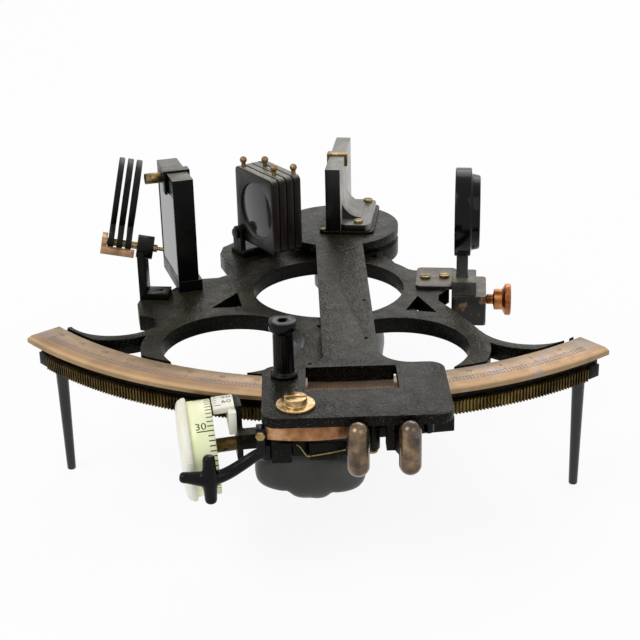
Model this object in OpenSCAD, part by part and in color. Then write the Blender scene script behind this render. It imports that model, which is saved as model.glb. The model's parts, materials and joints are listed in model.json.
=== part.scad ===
// Sextant: frame, index arm, mirrors, shades, telescope collar and micrometer drum.
// Origin: on the floor, under the index pivot. X to the right, the arc towards -Y, Z up.

/* [Frame] */
// Height of the frame's top face above the floor
deck_z = 66.4; // [60:0.1:80]
// Thickness of the frame casting
frame_t = 6.8; // [5:0.1:8]
// How far the frame's three rings sit to the right of the pivot
ring_x = 1.1; // [0:0.1:2]
// Distance of the upper ring's centre in front of the pivot
upper_ring_y = 63.3; // [60:0.1:66]
// Radius of the hole in the upper ring
upper_ring_r = 33.3; // [30:0.1:34]
// Width of the web between the upper ring's hole and each lower one
ring_web = 7.4; // [6:0.1:10]
// Half the distance between the lower rings' centres
lower_ring_x = 33.6; // [32:0.1:35]
// Width of the rings' rims
rim_w = 8.4; // [7:0.1:10]
// Radius of the boss round the index pivot
boss_r = 28.8; // [27:0.1:30]
// Width of the curved struts to the ends of the arc
strut_w = 4.5; // [3:0.1:6]

/* [Arc] */
// Outer radius of the bronze scale strip
strip_r = 171; // [169:0.1:173]
// Radial width of the bronze scale strip
strip_w = 15.6; // [12:0.1:16]
// Thickness of the bronze scale strip
strip_t = 2.7; // [2:0.1:3]
// Bevel along the strip's outer edge
strip_bevel = 0.9; // [0.3:0.1:1.2]
// Angle from the middle of the arc to each end
arc_half = 44.3; // [42:0.1:46]
// Distance of the limb's outer edge inside the strip's
limb_in = 6; // [5:0.1:8]
// Gap between the strip's inner edge and the frame behind it
limb_seat = 1.6; // [0.4:0.1:4]
// Depth of the limb below the strip
limb_h = 5.7; // [4.5:0.1:7]
// Distance of the rack's tooth tips inside the strip's outer edge
rack_in = 3.8; // [3:0.1:5]
// Height of the rack
rack_h = 5.4; // [4:0.1:7]
// Radial width of the rack
rack_w = 5.9; // [4.2:0.1:6.2]
// Angle between the rack's end and the strip's
rack_short = 2.3; // [2:0.1:4]
// Rack teeth in a full circle, two for each degree of the arm
rack_teeth = 720; // [720:1:720]
// Depth of the rack's teeth
tooth_h = 0.9; // [0.7:0.05:1]

/* [Legs and handle] */
// Distance of the front legs' middles inside the limb's outer edge
leg_in = 7.2; // [7:0.1:8]
// Angle between a front leg and the strip's end
leg_short = 0.9; // [0.8:0.1:4]
// Top diameter of a leg
leg_top_d = 5.5; // [4:0.1:6]
// Foot diameter of a leg
leg_foot_d = 3.7; // [3:0.1:5]
// Width of the handle
handle_w = 45; // [36:0.5:48]
// Distance of the handle's far end in front of the pivot
handle_back_y = 18; // [16:0.5:20]
// Height of the handle
handle_h = 20.4; // [18:0.1:24]
// Height of the handle's top below the frame's top face
handle_drop = 32; // [28:0.1:34]
// Distance of the handle's near end inside the strip's outer edge
handle_in = 13; // [12:0.5:21]

/* [Index arm] */
// Angle of the arm at rest, anticlockwise from the middle of the arc
arm_rest = 7; // [-20:0.5:20]
// Width of the arm's blade
blade_w = 21.8; // [18:0.1:24]
// Thickness of the arm
arm_t = 3.9; // [3:0.1:5]
// Height of the arm's underside above the frame
arm_lift = 2.9; // [2.5:0.1:3.5]
// Width of the arm's end plate
plate_w = 69.5; // [60:0.5:76]
// Distance of the end plate's inner edge inside the strip's outer edge
plate_in = 14; // [13:0.5:19]
// Length of the end plate, along the arm
plate_l = 44.5; // [41:0.5:49]
// Radius of the end plate's corners
plate_corner_r = 6; // [3:0.5:8]
// Width of the window over the scale
window_w = 34.6; // [28:0.1:38]
// Radial length of the window over the scale
window_l = 19.6; // [14:0.1:21]
// Width of the end plate's rim at the window's inner edge
window_rim = 2.4; // [1.5:0.1:5]
// Radius of the index spindle
spindle_r = 5; // [4:0.1:6]
// Running clearance of pins and spindles, on the radius
run_gap = 0.05; // [0.02:0.01:0.09]

// Height of the magnifier's socket post
post_h = 23; // [20:0.5:26]

/* [Index mirror] */
// Length of the index mirror's frame
index_l = 52.8; // [48:0.1:56]
// Height of the index mirror's frame
index_h = 30.2; // [27:0.1:34]
// Thickness of the index mirror's frame
index_t = 7; // [6:0.1:9]
// Distance of the index mirror's middle behind the pivot
index_back = 14; // [10:0.1:16]
// Turn of the index mirror from the arm's own line
index_turn = -8; // [-12:0.5:0]
// Height of the index mirror's base plate
index_base_t = 1.2; // [1:0.1:2]
// Width of the rim round each mirror glass
glass_rim = 2.2; // [1.5:0.1:3]
// Thickness of each mirror glass
glass_t = 3; // [2:0.1:4]

/* [Horizon mirror] */
// Place of the horizon mirror to the left of the pivot
horizon_x = 66.7; // [64:0.1:68]
// Place of the horizon mirror in front of the pivot
horizon_y = 55.4; // [53:0.1:57]
// Turn of the horizon mirror
horizon_turn = 23; // [20:0.5:26]
// Width of the horizon mirror's frame
horizon_w = 33.3; // [30:0.1:36]
// Thickness of the horizon mirror's frame
horizon_t = 9.1; // [8:0.1:10]
// Height of the horizon mirror's frame
horizon_h = 51.6; // [46:0.1:56]

/* [Horizon shades] */
// Number of horizon shades
horizon_shades = 3; // [3:1:3]
// Radius of a horizon shade's rim
hshade_r = 16.5; // [15:0.1:18]
// Thickness of a horizon shade's rim
hshade_t = 2.5; // [2.3:0.1:3]
// Spacing of the horizon shades along their pin
hshade_pitch = 3.8; // [3.4:0.1:4.2]
// Lean of the shade plates towards the mirror
hshade_lean = 12; // [4:0.5:14]
// Turn of the shades' pin away from the side to side line
hshade_turn = 10.5; // [0:0.5:14]
// Height of the shades' pin above the frame
hshade_pin_z = 26.4; // [24:0.1:28]
// Distance of the shades' pin in front of the pivot
hshade_pin_y = 79.3; // [78:0.1:80.5]
// Reach from the pin to a shade's middle, forwards and up alike
hshade_reach = 16.3; // [15.8:0.1:21]
// Left edge of the shade stack, to the left of the pivot
hshade_x = 93; // [92.5:0.1:94.5]

/* [Index shades] */
// Number of index shades
index_shades = 4; // [4:1:4]
// Width of an index shade plate
ishade_w = 31.7; // [28:0.1:33]
// Height of an index shade plate
ishade_h = 35.4; // [32:0.1:38]
// Thickness of an index shade plate
ishade_t = 3.3; // [3:0.1:3.5]
// Spacing of the index shades along their pin
ishade_pitch = 3.95; // [3.8:0.05:4.2]
// Radius of the round glass in an index shade
ishade_glass_r = 13; // [11:0.1:14]
// Place of the stack's middle to the left of the pivot
ishade_x = 29.5; // [28:0.1:31]
// Place of the stack's middle in front of the pivot
ishade_y = 28.1; // [27:0.1:30]
// Turn of the shade plates
ishade_turn = -50; // [-54:0.5:-46]
// Height of the shade plates' lower edge above the frame
ishade_z = 7.5; // [7.2:0.1:9]

/* [Telescope collar] */
// Place of the telescope's line to the right of the pivot
scope_x = 60; // [59:0.1:61]
// Distance of the telescope's line in front of the pivot
scope_y = 64; // [63:0.1:65]
// Height of the telescope's line above the frame
scope_z = 36.5; // [34:0.1:40]
// Outer radius of the collar ring
collar_r = 19; // [18:0.1:20]
// Bore radius of the collar ring
collar_bore_r = 13; // [11:0.1:14]
// Thickness of the collar ring
collar_t = 7; // [6:0.1:8]
// Length of the collar's threaded nose
nose_l = 3.7; // [3:0.1:5]
// Outer radius of the collar's nose
nose_r = 16.5; // [15:0.1:17]

/* [Micrometer] */
// Angle of the worm's contact with the rack, from the arm's middle line
worm_angle = 7; // [6:0.5:8]
// Outer radius of the worm
worm_r = 4.1; // [3.8:0.1:4.4]
// Depth of the worm's thread
worm_thread_h = 1; // [0.95:0.05:1]
// Clearance between the worm's crest and the rack's root
worm_root_gap = 0.12; // [0.08:0.01:0.2]
// Number of turns on the worm
worm_turns = 12; // [10:1:13]
// Radius of the drum's grip flange
drum_r = 19.5; // [18:0.1:20.5]
// Radius of the drum's graduated barrel
barrel_r = 18; // [16:0.1:18.5]
// Length of the drum's graduated barrel
barrel_l = 9.2; // [9:0.1:11]
// Length of the drum's grip flange
grip_l = 4.5; // [3.5:0.1:5.5]
// Distance along the shaft from the worm's middle to the barrel's near face
drum_t = 74.4; // [72.5:0.1:75]
// Place of the cradle's pivot screw left of the arm's middle line
cradle_pivot_x = 22.3; // [21:0.1:24]
// Distance of the cradle's pivot screw outside the worm's axis
cradle_back = 20.78; // [19.5:0.01:22]
// Height of a pinch lever's grip bead
bead_h = 22; // [18:0.5:24]
// Radius of a pinch lever's grip bead
bead_r = 4.2; // [3.5:0.1:4.4]

/* [Hidden] */
$fn = 64;

// Clearance between faces of pieces that move past each other
move_gap = 0.3;
// Clearance round a fixed part in its seat
seat_gap = 0.05;
// Radii that follow the strip's outer edge
limb_r = strip_r - limb_in;
limb_inner_r = strip_r - strip_w - limb_seat;
rack_r = strip_r - rack_in;
rack_inner_r = rack_r - rack_w;
leg_ring_r = limb_r - leg_in;
leg_angle = arc_half - leg_short;
rack_half = arc_half - rack_short;
// A lower ring's hole reaches the limb's inner edge and keeps its web to the upper ring
ring_gap_r = upper_ring_r + ring_web;
ring_span = limb_inner_r - upper_ring_y;
ring_power = pow(lower_ring_x, 2) + pow(ring_span, 2) - pow(ring_gap_r, 2);
lower_ring_r = ring_power / (2 * (ring_span + ring_gap_r));
lower_ring_y = limb_inner_r - lower_ring_r;
lower_ring_out = lower_ring_r + rim_w;
handle_front_y = strip_r - handle_in;
plate_inner_y = strip_r - plate_in;
plate_outer_y = plate_inner_y + plate_l;
window_y = plate_inner_y + window_rim;
// Levels, measured from the frame's top face
limb_top = -strip_t;
rack_top = limb_top - limb_h;
rack_low = rack_top - rack_h;
arm_low = arm_lift;
arm_top = arm_lift + arm_t;
boss_low = -frame_t - 7.2;
boss_low_r = 12;
ring_front = [ring_x, -upper_ring_y];
ring_left = [ring_x - lower_ring_x, -lower_ring_y];
ring_right = [ring_x + lower_ring_x, -lower_ring_y];
// The notch whose edge the struts follow: it touches the lower ring's rim and the end of the limb
notch_r = 22;
limb_end = limb_inner_r * [sin(arc_half), -cos(arc_half)];
notch_at = circles_meet(ring_right, lower_ring_out + notch_r + 0.15, limb_end, notch_r + 0.7);
notch_x = notch_at.x - ring_x;
notch_y = -notch_at.y;
bush_r = spindle_r + 2.5;

// Rack and worm
pitch_angle = 360 / rack_teeth;
rack_root_r = rack_r - tooth_h;
worm_axis_r = rack_root_r + worm_root_gap + worm_r;
cradle_pivot_y = worm_axis_r + cradle_back;
mesh_r = (rack_r + rack_root_r) / 2;
worm_pitch = 2 * PI * mesh_r / rack_teeth;
worm_mesh_r = worm_axis_r - mesh_r;
worm_tilt = atan(worm_pitch / (2 * PI * worm_mesh_r));
worm_root_r = worm_r - worm_thread_h;
worm_lead = worm_pitch / cos(worm_tilt);
worm_l = worm_turns * worm_lead;
worm_z = (rack_top + rack_low) / 2;
shaft_r = 2.7;
journal_r = 1.5;

// Places on the end plate, in the arm's own frame
lever_hub = [5, 9.5 - plate_outer_y];
fixed_hub = [13.6, 9.5 - plate_outer_y];
post_x = 26.4;
post_y = plate_inner_y + 9;
lever_z = -11;
bead_y = -plate_outer_y - 4.5;
bead_low = -15;
cradle_low = -11;
cradle_top = -5;
lug_top = -3.4;

// Shade stack directions
ishade_first = -(index_shades - 1) / 2 * ishade_pitch;
ishade_pin_u = -ishade_w / 2 + 3.6;
ishade_pin_z = ishade_z + 3.6;
ishade_pin_r = 1.5;
hshade_pin_r = 1.6;
hshade_tail_w = 7;

// One point where two circles cross, on the left of the line between their centres
function circles_meet(c1, r1, c2, r2) =
    let (d = c2 - c1, l = norm(d), a = (l * l + r1 * r1 - r2 * r2) / (2 * l),
         h = sqrt(max(0, r1 * r1 - a * a)), u = d / l)
    c1 + a * u + h * [-u.y, u.x];

// Puts children on the frame's top face
module on_deck() translate([0, 0, deck_z]) children();
// Puts children on the horizon shades' pin, with X along it and its start at the left shade
module on_shade_pin()
    on_deck() translate([-hshade_x, -hshade_pin_y, hshade_pin_z])
        rotate([0, hshade_lean, hshade_turn]) children();
// Puts children on the index arm, in its own frame, at its rest angle
module on_arm() on_deck() rotate([0, 0, arm_rest]) children();
// Puts children on the worm's axis, with X along it and Y towards the pivot
module on_worm_axis()
    on_arm() rotate([0, 0, worm_angle]) translate([0, -worm_axis_r, worm_z])
        rotate([0, -worm_tilt, 0]) children();
// The same, but level: for pieces that carry the shaft
module along_worm()
    on_arm() rotate([0, 0, worm_angle]) translate([0, -worm_axis_r, 0]) children();

// A wedge of a ring about the origin, centred on -Y, half angle a
module sector_2d(r_in, r_out, a) {
    far = r_out * 2;
    intersection() {
        difference() {
            circle(r_out, $fn = 180);
            circle(r_in, $fn = 180);
        }
        polygon([[0, 0], [-far * sin(a), -far * cos(a)], [-far * sin(a / 3), -far],
                 [far * sin(a / 3), -far], [far * sin(a), -far * cos(a)]]);
    }
}

// A rectangle with round corners, from its low corner
module round_rect(size, r) {
    translate([r, 0]) square([size.x - 2 * r, size.y]);
    translate([0, r]) square([size.x, size.y - 2 * r]);
    for (x = [r, size.x - r], y = [r, size.y - r]) translate([x, y]) circle(r);
}

// A slotted screw, head up, with the underside of its head at z = 0
module slotted_screw(d, head_d, head_h, length) {
    difference() {
        union() {
            translate([0, 0, -length]) cylinder(d = d, h = length);
            cylinder(d = head_d, h = head_h);
        }
        translate([-head_d, -head_d * 0.09, head_h * 0.55]) cube([head_d * 2, head_d * 0.18, head_h]);
    }
}

// The frame's outline as a slab, without its holes
module frame_solid(t) {
    cylinder(r = boss_r, h = t);
    translate(ring_front) cylinder(r = upper_ring_r + rim_w, h = t);
    translate(ring_left) cylinder(r = lower_ring_out, h = t);
    translate(ring_right) cylinder(r = lower_ring_out, h = t);
    // platform of the horizon mirror and its shades
    linear_extrude(t)
        polygon([[-20, -30], [-42, -46], [-50, -54], [-57, -55.5], [-64, -60], [-70, -72], [-80, -74],
                 [-80.5, -86], [-77, -98.5], [-70, -101], ring_left + lower_ring_out * [-0.89, 0.44],
                 ring_left + lower_ring_out * [-0.33, 0.33],
                 [-20, -90]]);
    // lug of the index shades
    linear_extrude(t)
        polygon([[-8, -24], [-24, -38], [-42, -45], [-47, -37], [-50, -33], [-54, -24], [-54, -15],
                 [-50, -9], [-43, -4], [-26, 2]]);
    // right side, under the telescope bracket
    linear_extrude(t)
        polygon([[20, -18], [28, -30], [31, -37], [38, -41], [54, -41], [54.5, -62], [50, -70], [50, -76],
                 [56, -85], [62, -96], ring_right + lower_ring_out * [0.86, 0.52],
                 ring_right + lower_ring_out * [0.4, 0.33], [20, -88]]);
    for (s = [-1, 1]) linear_extrude(t) strut_2d(s);
}

// Triangular window between the rings, s = -1 on the left and 1 on the right
module triangle_2d(s) {
    translate([ring_x, 0])
        polygon([[s * 39.8, -upper_ring_y - 7.7], [s * 35.2, lower_ring_out - lower_ring_y],
                 [s * 48.6, lower_ring_out - 2 - lower_ring_y]]);
}

// Curved strut from a lower ring to the end of the arc
module strut_2d(s) {
    translate([ring_x + s * notch_x, -notch_y]) intersection() {
        difference() {
            circle(notch_r + strut_w);
            circle(notch_r);
        }
        polygon([[0, 0], [-s * 40, -19], [-s * 22, -60], [s * 10, -60], [s * 40, -31]]);
    }
}

module frame() {
    color("#3b3b34") on_deck() difference() {
        union() {
            translate([0, 0, -frame_t]) difference() {
                frame_solid(frame_t);
                // the scale strip's seat
                translate([0, 0, -1]) linear_extrude(frame_t + 2)
                    sector_2d(limb_inner_r, strip_r + 30, arc_half + 4);
            }
            // the limb under the strip
            translate([0, 0, rack_top]) linear_extrude(limb_h)
                sector_2d(limb_inner_r - 2, limb_r, arc_half);
            translate([0, 0, boss_low]) cylinder(r = boss_low_r, h = -boss_low);
            cylinder(r = boss_r - 9, h = arm_lift - move_gap);
        }
        translate([0, 0, boss_low - 1]) cylinder(r = bush_r, h = arm_lift - boss_low + 2);
        translate([0, 0, -20]) {
            translate(ring_front) cylinder(r = upper_ring_r, h = 40);
            translate(ring_left) cylinder(r = lower_ring_r, h = 40);
            translate(ring_right) cylinder(r = lower_ring_r, h = 40);
            for (s = [-1, 1]) linear_extrude(40) triangle_2d(s);
        }
        for (a = rack_screw_angles) rotate([0, 0, a]) translate([0, -rack_screw_r, rack_top - 1])
            cylinder(d = rack_screw_d + 2 * seat_gap, h = rack_screw_l - rack_h + 1.5);
    }
}

// Screws that hold the rack to the limb from below
rack_screw_angles = [-36, -21.6, -7.2, 7.2, 21.6, 36];
rack_screw_r = (rack_inner_r + rack_root_r) / 2;
rack_screw_d = 1.6;
rack_screw_l = rack_h + 3.5;
rack_screw_head_d = 2.8;
rack_screw_head_h = 1.2;

module rack_screws() {
    color("#a98f4e") on_deck() for (a = rack_screw_angles)
        rotate([0, 0, a]) translate([0, -rack_screw_r, rack_low + rack_screw_head_h]) rotate([180, 0, 0])
            slotted_screw(rack_screw_d, rack_screw_head_d, rack_screw_head_h,
                          rack_screw_l - rack_screw_head_h);
}

module scale_strip() {
    low_r = strip_r - strip_w;
    color("#a9805a") on_deck() rotate([0, 0, -90 - arc_half])
        rotate_extrude(angle = 2 * arc_half, $fn = 360)
        polygon([[low_r, -strip_t], [low_r, 0], [strip_r - 2.4 * strip_bevel, 0],
                 [strip_r, -strip_bevel], [strip_r, -strip_t]]);
}

// One tooth space a pitch, centred on whole multiples of the pitch angle
function rack_tooth(i) =
    let (a = i * pitch_angle, root = 0.239 * pitch_angle, tip = 0.338 * pitch_angle)
    [[rack_root_r, a - root], [rack_root_r, a + root],
     [rack_r, a + tip], [rack_r, a + pitch_angle - tip]];

module rack() {
    n = floor(rack_half / pitch_angle + 0.01);
    outer = [for (i = [-n : n - 1], p = rack_tooth(i)) p];
    inner = [for (a = [n * pitch_angle : -1 : -n * pitch_angle]) [rack_inner_r, a]];
    points = [for (p = concat(outer, inner)) [p[0] * sin(p[1]), -p[0] * cos(p[1])]];
    color("#6f6440") on_deck() translate([0, 0, rack_low]) difference() {
        linear_extrude(rack_h) polygon(points);
        for (a = rack_screw_angles) rotate([0, 0, a]) translate([0, -rack_screw_r, -1]) {
            cylinder(d = rack_screw_d + 2 * seat_gap, h = rack_h + 2);
            cylinder(d = rack_screw_head_d + 2 * seat_gap, h = rack_screw_head_h + 1);
        }
    }
}

module rack_stops() {
    stop_a = (arc_half - rack_half) / 2 - 0.15;
    color("#26261f") on_deck() for (s = [-1, 1])
        rotate([0, 0, s * (arc_half - stop_a)]) translate([0, 0, rack_low]) linear_extrude(rack_h)
            sector_2d(rack_inner_r, rack_root_r, stop_a);
}

// A tapered leg with its foot at the origin
module leg(top_z) {
    rotate_extrude() polygon([[0, 0], [leg_foot_d / 2 - 0.3, 0], [leg_foot_d / 2, 0.3],
                              [leg_top_d / 2, top_z], [0, top_z]]);
}

module front_legs() {
    color("#1d1d1b") for (s = [-1, 1]) rotate([0, 0, s * leg_angle]) translate([0, -leg_ring_r, 0])
        leg(deck_z + rack_top);
}

// The rear leg screws over the index spindle and covers its nut
module rear_leg() {
    cup_top = deck_z + boss_low;
    cup_h = 9.5;
    cup_wall = 2;
    color("#1d1d1b") rotate_extrude() polygon([
        [0, 0], [leg_foot_d / 2 - 0.3, 0], [leg_foot_d / 2, 0.3], [leg_top_d / 2, cup_top - cup_h - 8],
        [boss_low_r - 2, cup_top - cup_h - 2.5], [boss_low_r, cup_top - cup_h], [boss_low_r, cup_top],
        [boss_low_r - cup_wall, cup_top], [boss_low_r - cup_wall, cup_top - cup_h + 2],
            [0, cup_top - cup_h + 2]]);
}

module pivot_bush() {
    color("#b08d4f") on_deck() translate([0, 0, boss_low]) difference() {
        cylinder(r = bush_r, h = arm_lift - boss_low - move_gap);
        translate([0, 0, -1]) cylinder(r = spindle_r + run_gap, h = arm_lift - boss_low + 2);
    }
}

// Handle under the frame, with its cross section in the XZ plane
handle_x = 1;
handle_top = -handle_drop;
cap_r = 10.5;
cap_out = 3;

handle_bevel = 3;

// Flat-sided grip: two round edges joined by a slab, with smaller ends
module handle_bar(y0, y1, r) {
    mid = handle_w / 2 - handle_h / 2;
    translate([0, y1, 0]) rotate([90, 0, 0]) {
        for (s = [-1, 1]) translate([s * mid, 0, 0]) cylinder(r = r, h = y1 - y0);
        translate([-mid, -r, 0]) cube([2 * mid, 2 * r, y1 - y0]);
    }
}

module handle_body() {
    y0 = -handle_front_y + cap_out;
    y1 = -handle_back_y;
    mid_z = handle_top - handle_h / 2;
    color("#2c2c2b") on_deck() translate([handle_x, 0, mid_z]) {
        handle_bar(y0 + handle_bevel, y1 - handle_bevel, handle_h / 2);
        handle_bar(y0, y1, handle_h / 2 - handle_bevel / 2);
    }
}

// Ribbed end cap of the handle
module handle_cap() {
    mid_z = handle_top - handle_h / 2;
    color("#262625") on_deck() translate([handle_x, -handle_front_y + cap_out, mid_z]) rotate([90, 0, 0])
        rotate_extrude() polygon([[0, 0], [cap_r - 2, 0], [cap_r - 2.4, cap_out - 1.2],
            [cap_r - 4, cap_out - 0.2],
                                  [0, cap_out]]);
}

handle_post_y = [24.5, lower_ring_y];
handle_post_r = 3.5;

module handle_posts() {
    color("#242422") on_deck() for (y = handle_post_y) translate([ring_x, -y, handle_top])
        cylinder(r = handle_post_r, h = handle_drop - frame_t);
}

// Horizon mirror, in its own frame: X along the glass's normal, Y along its width
module on_horizon()
    on_deck() translate([-horizon_x, -horizon_y, 0]) rotate([0, 0, horizon_turn]) children();
horizon_base_h = 5;
horizon_base_out = 1.6;
horizon_screw_y = horizon_w / 2 - 4;
// The glass lies flush in the frame's left face
horizon_edge = 1.4;
horizon_glass_low = horizon_base_h + 1.5;
horizon_glass_high = horizon_h - 8.4;

module horizon_base() {
    color("#23231f") on_horizon() difference() {
        translate([-horizon_t / 2, -horizon_w / 2, 0])
            cube([horizon_t + horizon_base_out, horizon_w, horizon_base_h]);
        for (y = [-horizon_screw_y, horizon_screw_y]) translate([0, y, 1])
            cylinder(d = 1.6 + 2 * seat_gap, h = horizon_base_h);
    }
}

module horizon_frame() {
    h = horizon_h - horizon_base_h;
    rim = glass_rim + 1.8;
    color("#1a1a18") on_horizon() difference() {
        translate([-horizon_t / 2, -horizon_w / 2, horizon_base_h]) cube([horizon_t, horizon_w, h]);
        // window right through, and the glass's seat
        translate([-horizon_t, -horizon_w / 2 + rim, horizon_glass_low + 2.6])
            cube([horizon_t * 2, horizon_w - 2 * rim, horizon_glass_high - horizon_glass_low - 5.2]);
        translate([-horizon_t / 2 - 1, -horizon_w / 2 + horizon_edge, horizon_glass_low])
            cube([glass_t + 1.2, horizon_w - 2 * horizon_edge, horizon_glass_high - horizon_glass_low]);
        for (y = [-horizon_screw_y, horizon_screw_y]) translate([0, y, 1])
            cylinder(d = 1.6 + 2 * seat_gap, h = horizon_base_h + 2);
        translate([-horizon_t, adjuster_y, horizon_h - 4.5]) rotate([0, 90, 0])
            cylinder(r = adjuster_r, h = horizon_t - 1.5);
    }
}

module horizon_glass() {
    half_w = horizon_w / 2 - horizon_edge - seat_gap;
    color("#b9c2c4") on_horizon()
        translate([-horizon_t / 2 + 0.2, -half_w, horizon_glass_low + seat_gap])
            cube([glass_t, 2 * half_w, horizon_glass_high - horizon_glass_low - 2 * seat_gap]);
}

// Three spring clips that hold the horizon glass in its seat
module horizon_clips() {
    clip_out = 1.2;
    clip_w = 5;
    color("#8f8a7c") on_horizon() {
        translate([-horizon_t / 2 - clip_out, -clip_w, horizon_h - 9.6]) cube([clip_out, clip_w, 9.6]);
        translate([-horizon_t / 2 - clip_out, -clip_w, horizon_h])
            cube([horizon_t + 2 * clip_out, clip_w, 1]);
        translate([horizon_t / 2, -clip_w, horizon_h - 5]) cube([clip_out, clip_w, 5]);
    }
}

adjuster_r = 1.9;
adjuster_out = 8;
adjuster_y = 5;

module horizon_screws() {
    color("#a98f4e") on_horizon() {
        for (y = [-horizon_screw_y, horizon_screw_y]) translate([0, y, 1])
            cylinder(d = 1.6, h = horizon_base_h);
        translate([-horizon_t / 2 - adjuster_out, adjuster_y, horizon_h - 4.5]) rotate([0, 90, 0]) {
            cylinder(r = adjuster_r - seat_gap, h = adjuster_out + horizon_t / 2 - 1.5 - 0.3);
            cylinder(r = adjuster_r + 0.5, h = adjuster_out - 0.6);
        }
    }
}

// Post of the horizon shades: a strap with its foot bent to the right
post_strap_t = 3;
post_strap_w = 9;
post_foot_t = 3;
post_x0 = 80.3;
post_hub_r = 5;

module shade_post() {
    // middle of the strap, under the hub
    mid_y = -hshade_pin_y + (hshade_x - post_x0) * sin(hshade_turn);
    top_z = hshade_pin_z - (hshade_x - post_x0) * sin(hshade_lean) - hshade_pin_r - 0.9;
    color("#20211f") difference() {
        union() {
            on_deck() translate([-post_x0, mid_y - post_strap_w / 2, 0])
                cube([post_strap_t, post_strap_w, top_z]);
            on_deck() translate([-post_x0, mid_y - post_strap_w / 2, 0])
                cube([12.5, post_strap_w, post_foot_t]);
            on_shade_pin() translate([hshade_x - post_x0, 0, 0]) rotate([0, 90, 0])
                cylinder(r = post_hub_r, h = post_strap_t + 4);
        }
        on_shade_pin() rotate([0, 90, 0]) cylinder(r = hshade_pin_r + seat_gap, h = 60);
        on_deck() translate([-post_x0 + 9, mid_y, -1]) cylinder(d = 1.9, h = 6);
    }
}

hshade_pin_left = 2.7;
hshade_pin_l = 24.2;
hshade_tip_l = 27;

module shade_pin() {
    color("#a07f49") on_shade_pin() translate([-hshade_pin_left, 0, 0]) rotate([0, 90, 0]) {
        cylinder(r = hshade_pin_r, h = hshade_pin_l);
        cylinder(r = hshade_pin_r - 0.8, h = hshade_tip_l);
    }
}

// Brass stop that the shades rest against, at the pin's left end
module shade_stop() {
    color("#b98a5c") on_shade_pin() translate([-hshade_pin_left, 0, 0]) difference() {
        union() {
            translate([0, -3.5, -2.8]) cube([2.4, 7, 5.6]);
            translate([0, -8.4, -2.8]) cube([14.4, 2.8, 2.8]);
            translate([0, -6, -2.7]) cube([2.3, 3, 2.6]);
        }
        translate([-1, 0, 0]) rotate([0, 90, 0]) cylinder(r = hshade_pin_r, h = 10);
    }
}

// One horizon shade, in the pin's frame
module on_horizon_shade(i) on_shade_pin() translate([i * hshade_pitch + hshade_t / 2, 0, 0]) children();

module horizon_shade(i) {
    eye_r = 4.5;
    reach = norm([hshade_reach, hshade_reach]);
    color("#1b1c1a") on_horizon_shade(i) rotate([45, 0, 0]) difference() {
        union() {
            translate([-hshade_t / 2, reach, 0]) rotate([0, 90, 0]) cylinder(r = hshade_r, h = hshade_t);
            translate([-hshade_t / 2, 0, -hshade_tail_w / 2]) cube([hshade_t, reach, hshade_tail_w]);
            translate([-hshade_t / 2, 0, 0]) rotate([0, 90, 0]) cylinder(r = eye_r + 0.3, h = hshade_t);
        }
        translate([-hshade_t, reach, 0]) rotate([0, 90, 0]) cylinder(r = hshade_r - 2.6, h = hshade_t * 2);
        translate([-hshade_t, 0, 0]) rotate([0, 90, 0])
            cylinder(r = hshade_pin_r + run_gap, h = hshade_t * 2);
    }
}

module horizon_filter(i) {
    color(["#5a2f1f", "#3b3f33", "#2b2b33"][i]) on_horizon_shade(i)
        translate([-hshade_t / 2 + 0.6, hshade_reach, hshade_reach])
            rotate([0, 90, 0]) cylinder(r = hshade_r - 2.6 - seat_gap, h = hshade_t - 1.2);
}
module horizon_shade_1() horizon_shade(0);
module horizon_shade_2() horizon_shade(1);
module horizon_shade_3() horizon_shade(2);
module horizon_filter_1() horizon_filter(0);
module horizon_filter_2() horizon_filter(1);
module horizon_filter_3() horizon_filter(2);

// Index shades, in the stack's frame: X along a plate's width, Y along the stack
module on_index_shades()
    on_deck() translate([-ishade_x, -ishade_y, 0]) rotate([0, 0, ishade_turn]) children();
ishade_half = (index_shades - 1) / 2 * ishade_pitch + ishade_t / 2;
ishade_ear_t = 2.6;

// Bracket on the frame's lug that carries the index shades' pin at both ends
module index_shade_bracket() {
    ear_r = 3.4;
    far = ishade_half + move_gap + ishade_ear_t;
    color("#1d1d1b") on_index_shades() difference() {
        union() {
            for (y = [-far, far - ishade_ear_t]) {
                translate([ishade_pin_u, y, ishade_pin_z]) rotate([-90, 0, 0])
                    cylinder(r = ear_r, h = ishade_ear_t);
                translate([ishade_pin_u - ear_r, y, 0])
                    cube([2 * ear_r, ishade_ear_t, ishade_pin_z]);
            }
            translate([ishade_pin_u - 5.5, -far, 0]) cube([11, 2 * far, 3.2]);
        }
        translate([ishade_pin_u, -far - 1, ishade_pin_z]) rotate([-90, 0, 0])
            cylinder(r = ishade_pin_r + seat_gap, h = 2 * far + 2);
    }
}

module index_shade_pin() {
    far = ishade_half + move_gap + ishade_ear_t;
    color("#a07f49") on_index_shades() translate([ishade_pin_u, -far - 1.2, ishade_pin_z])
        rotate([-90, 0, 0]) {
        cylinder(r = ishade_pin_r, h = 2 * far + 2.4);
        cylinder(r = ishade_pin_r + 1, h = 1.2);
    }
}

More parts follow.
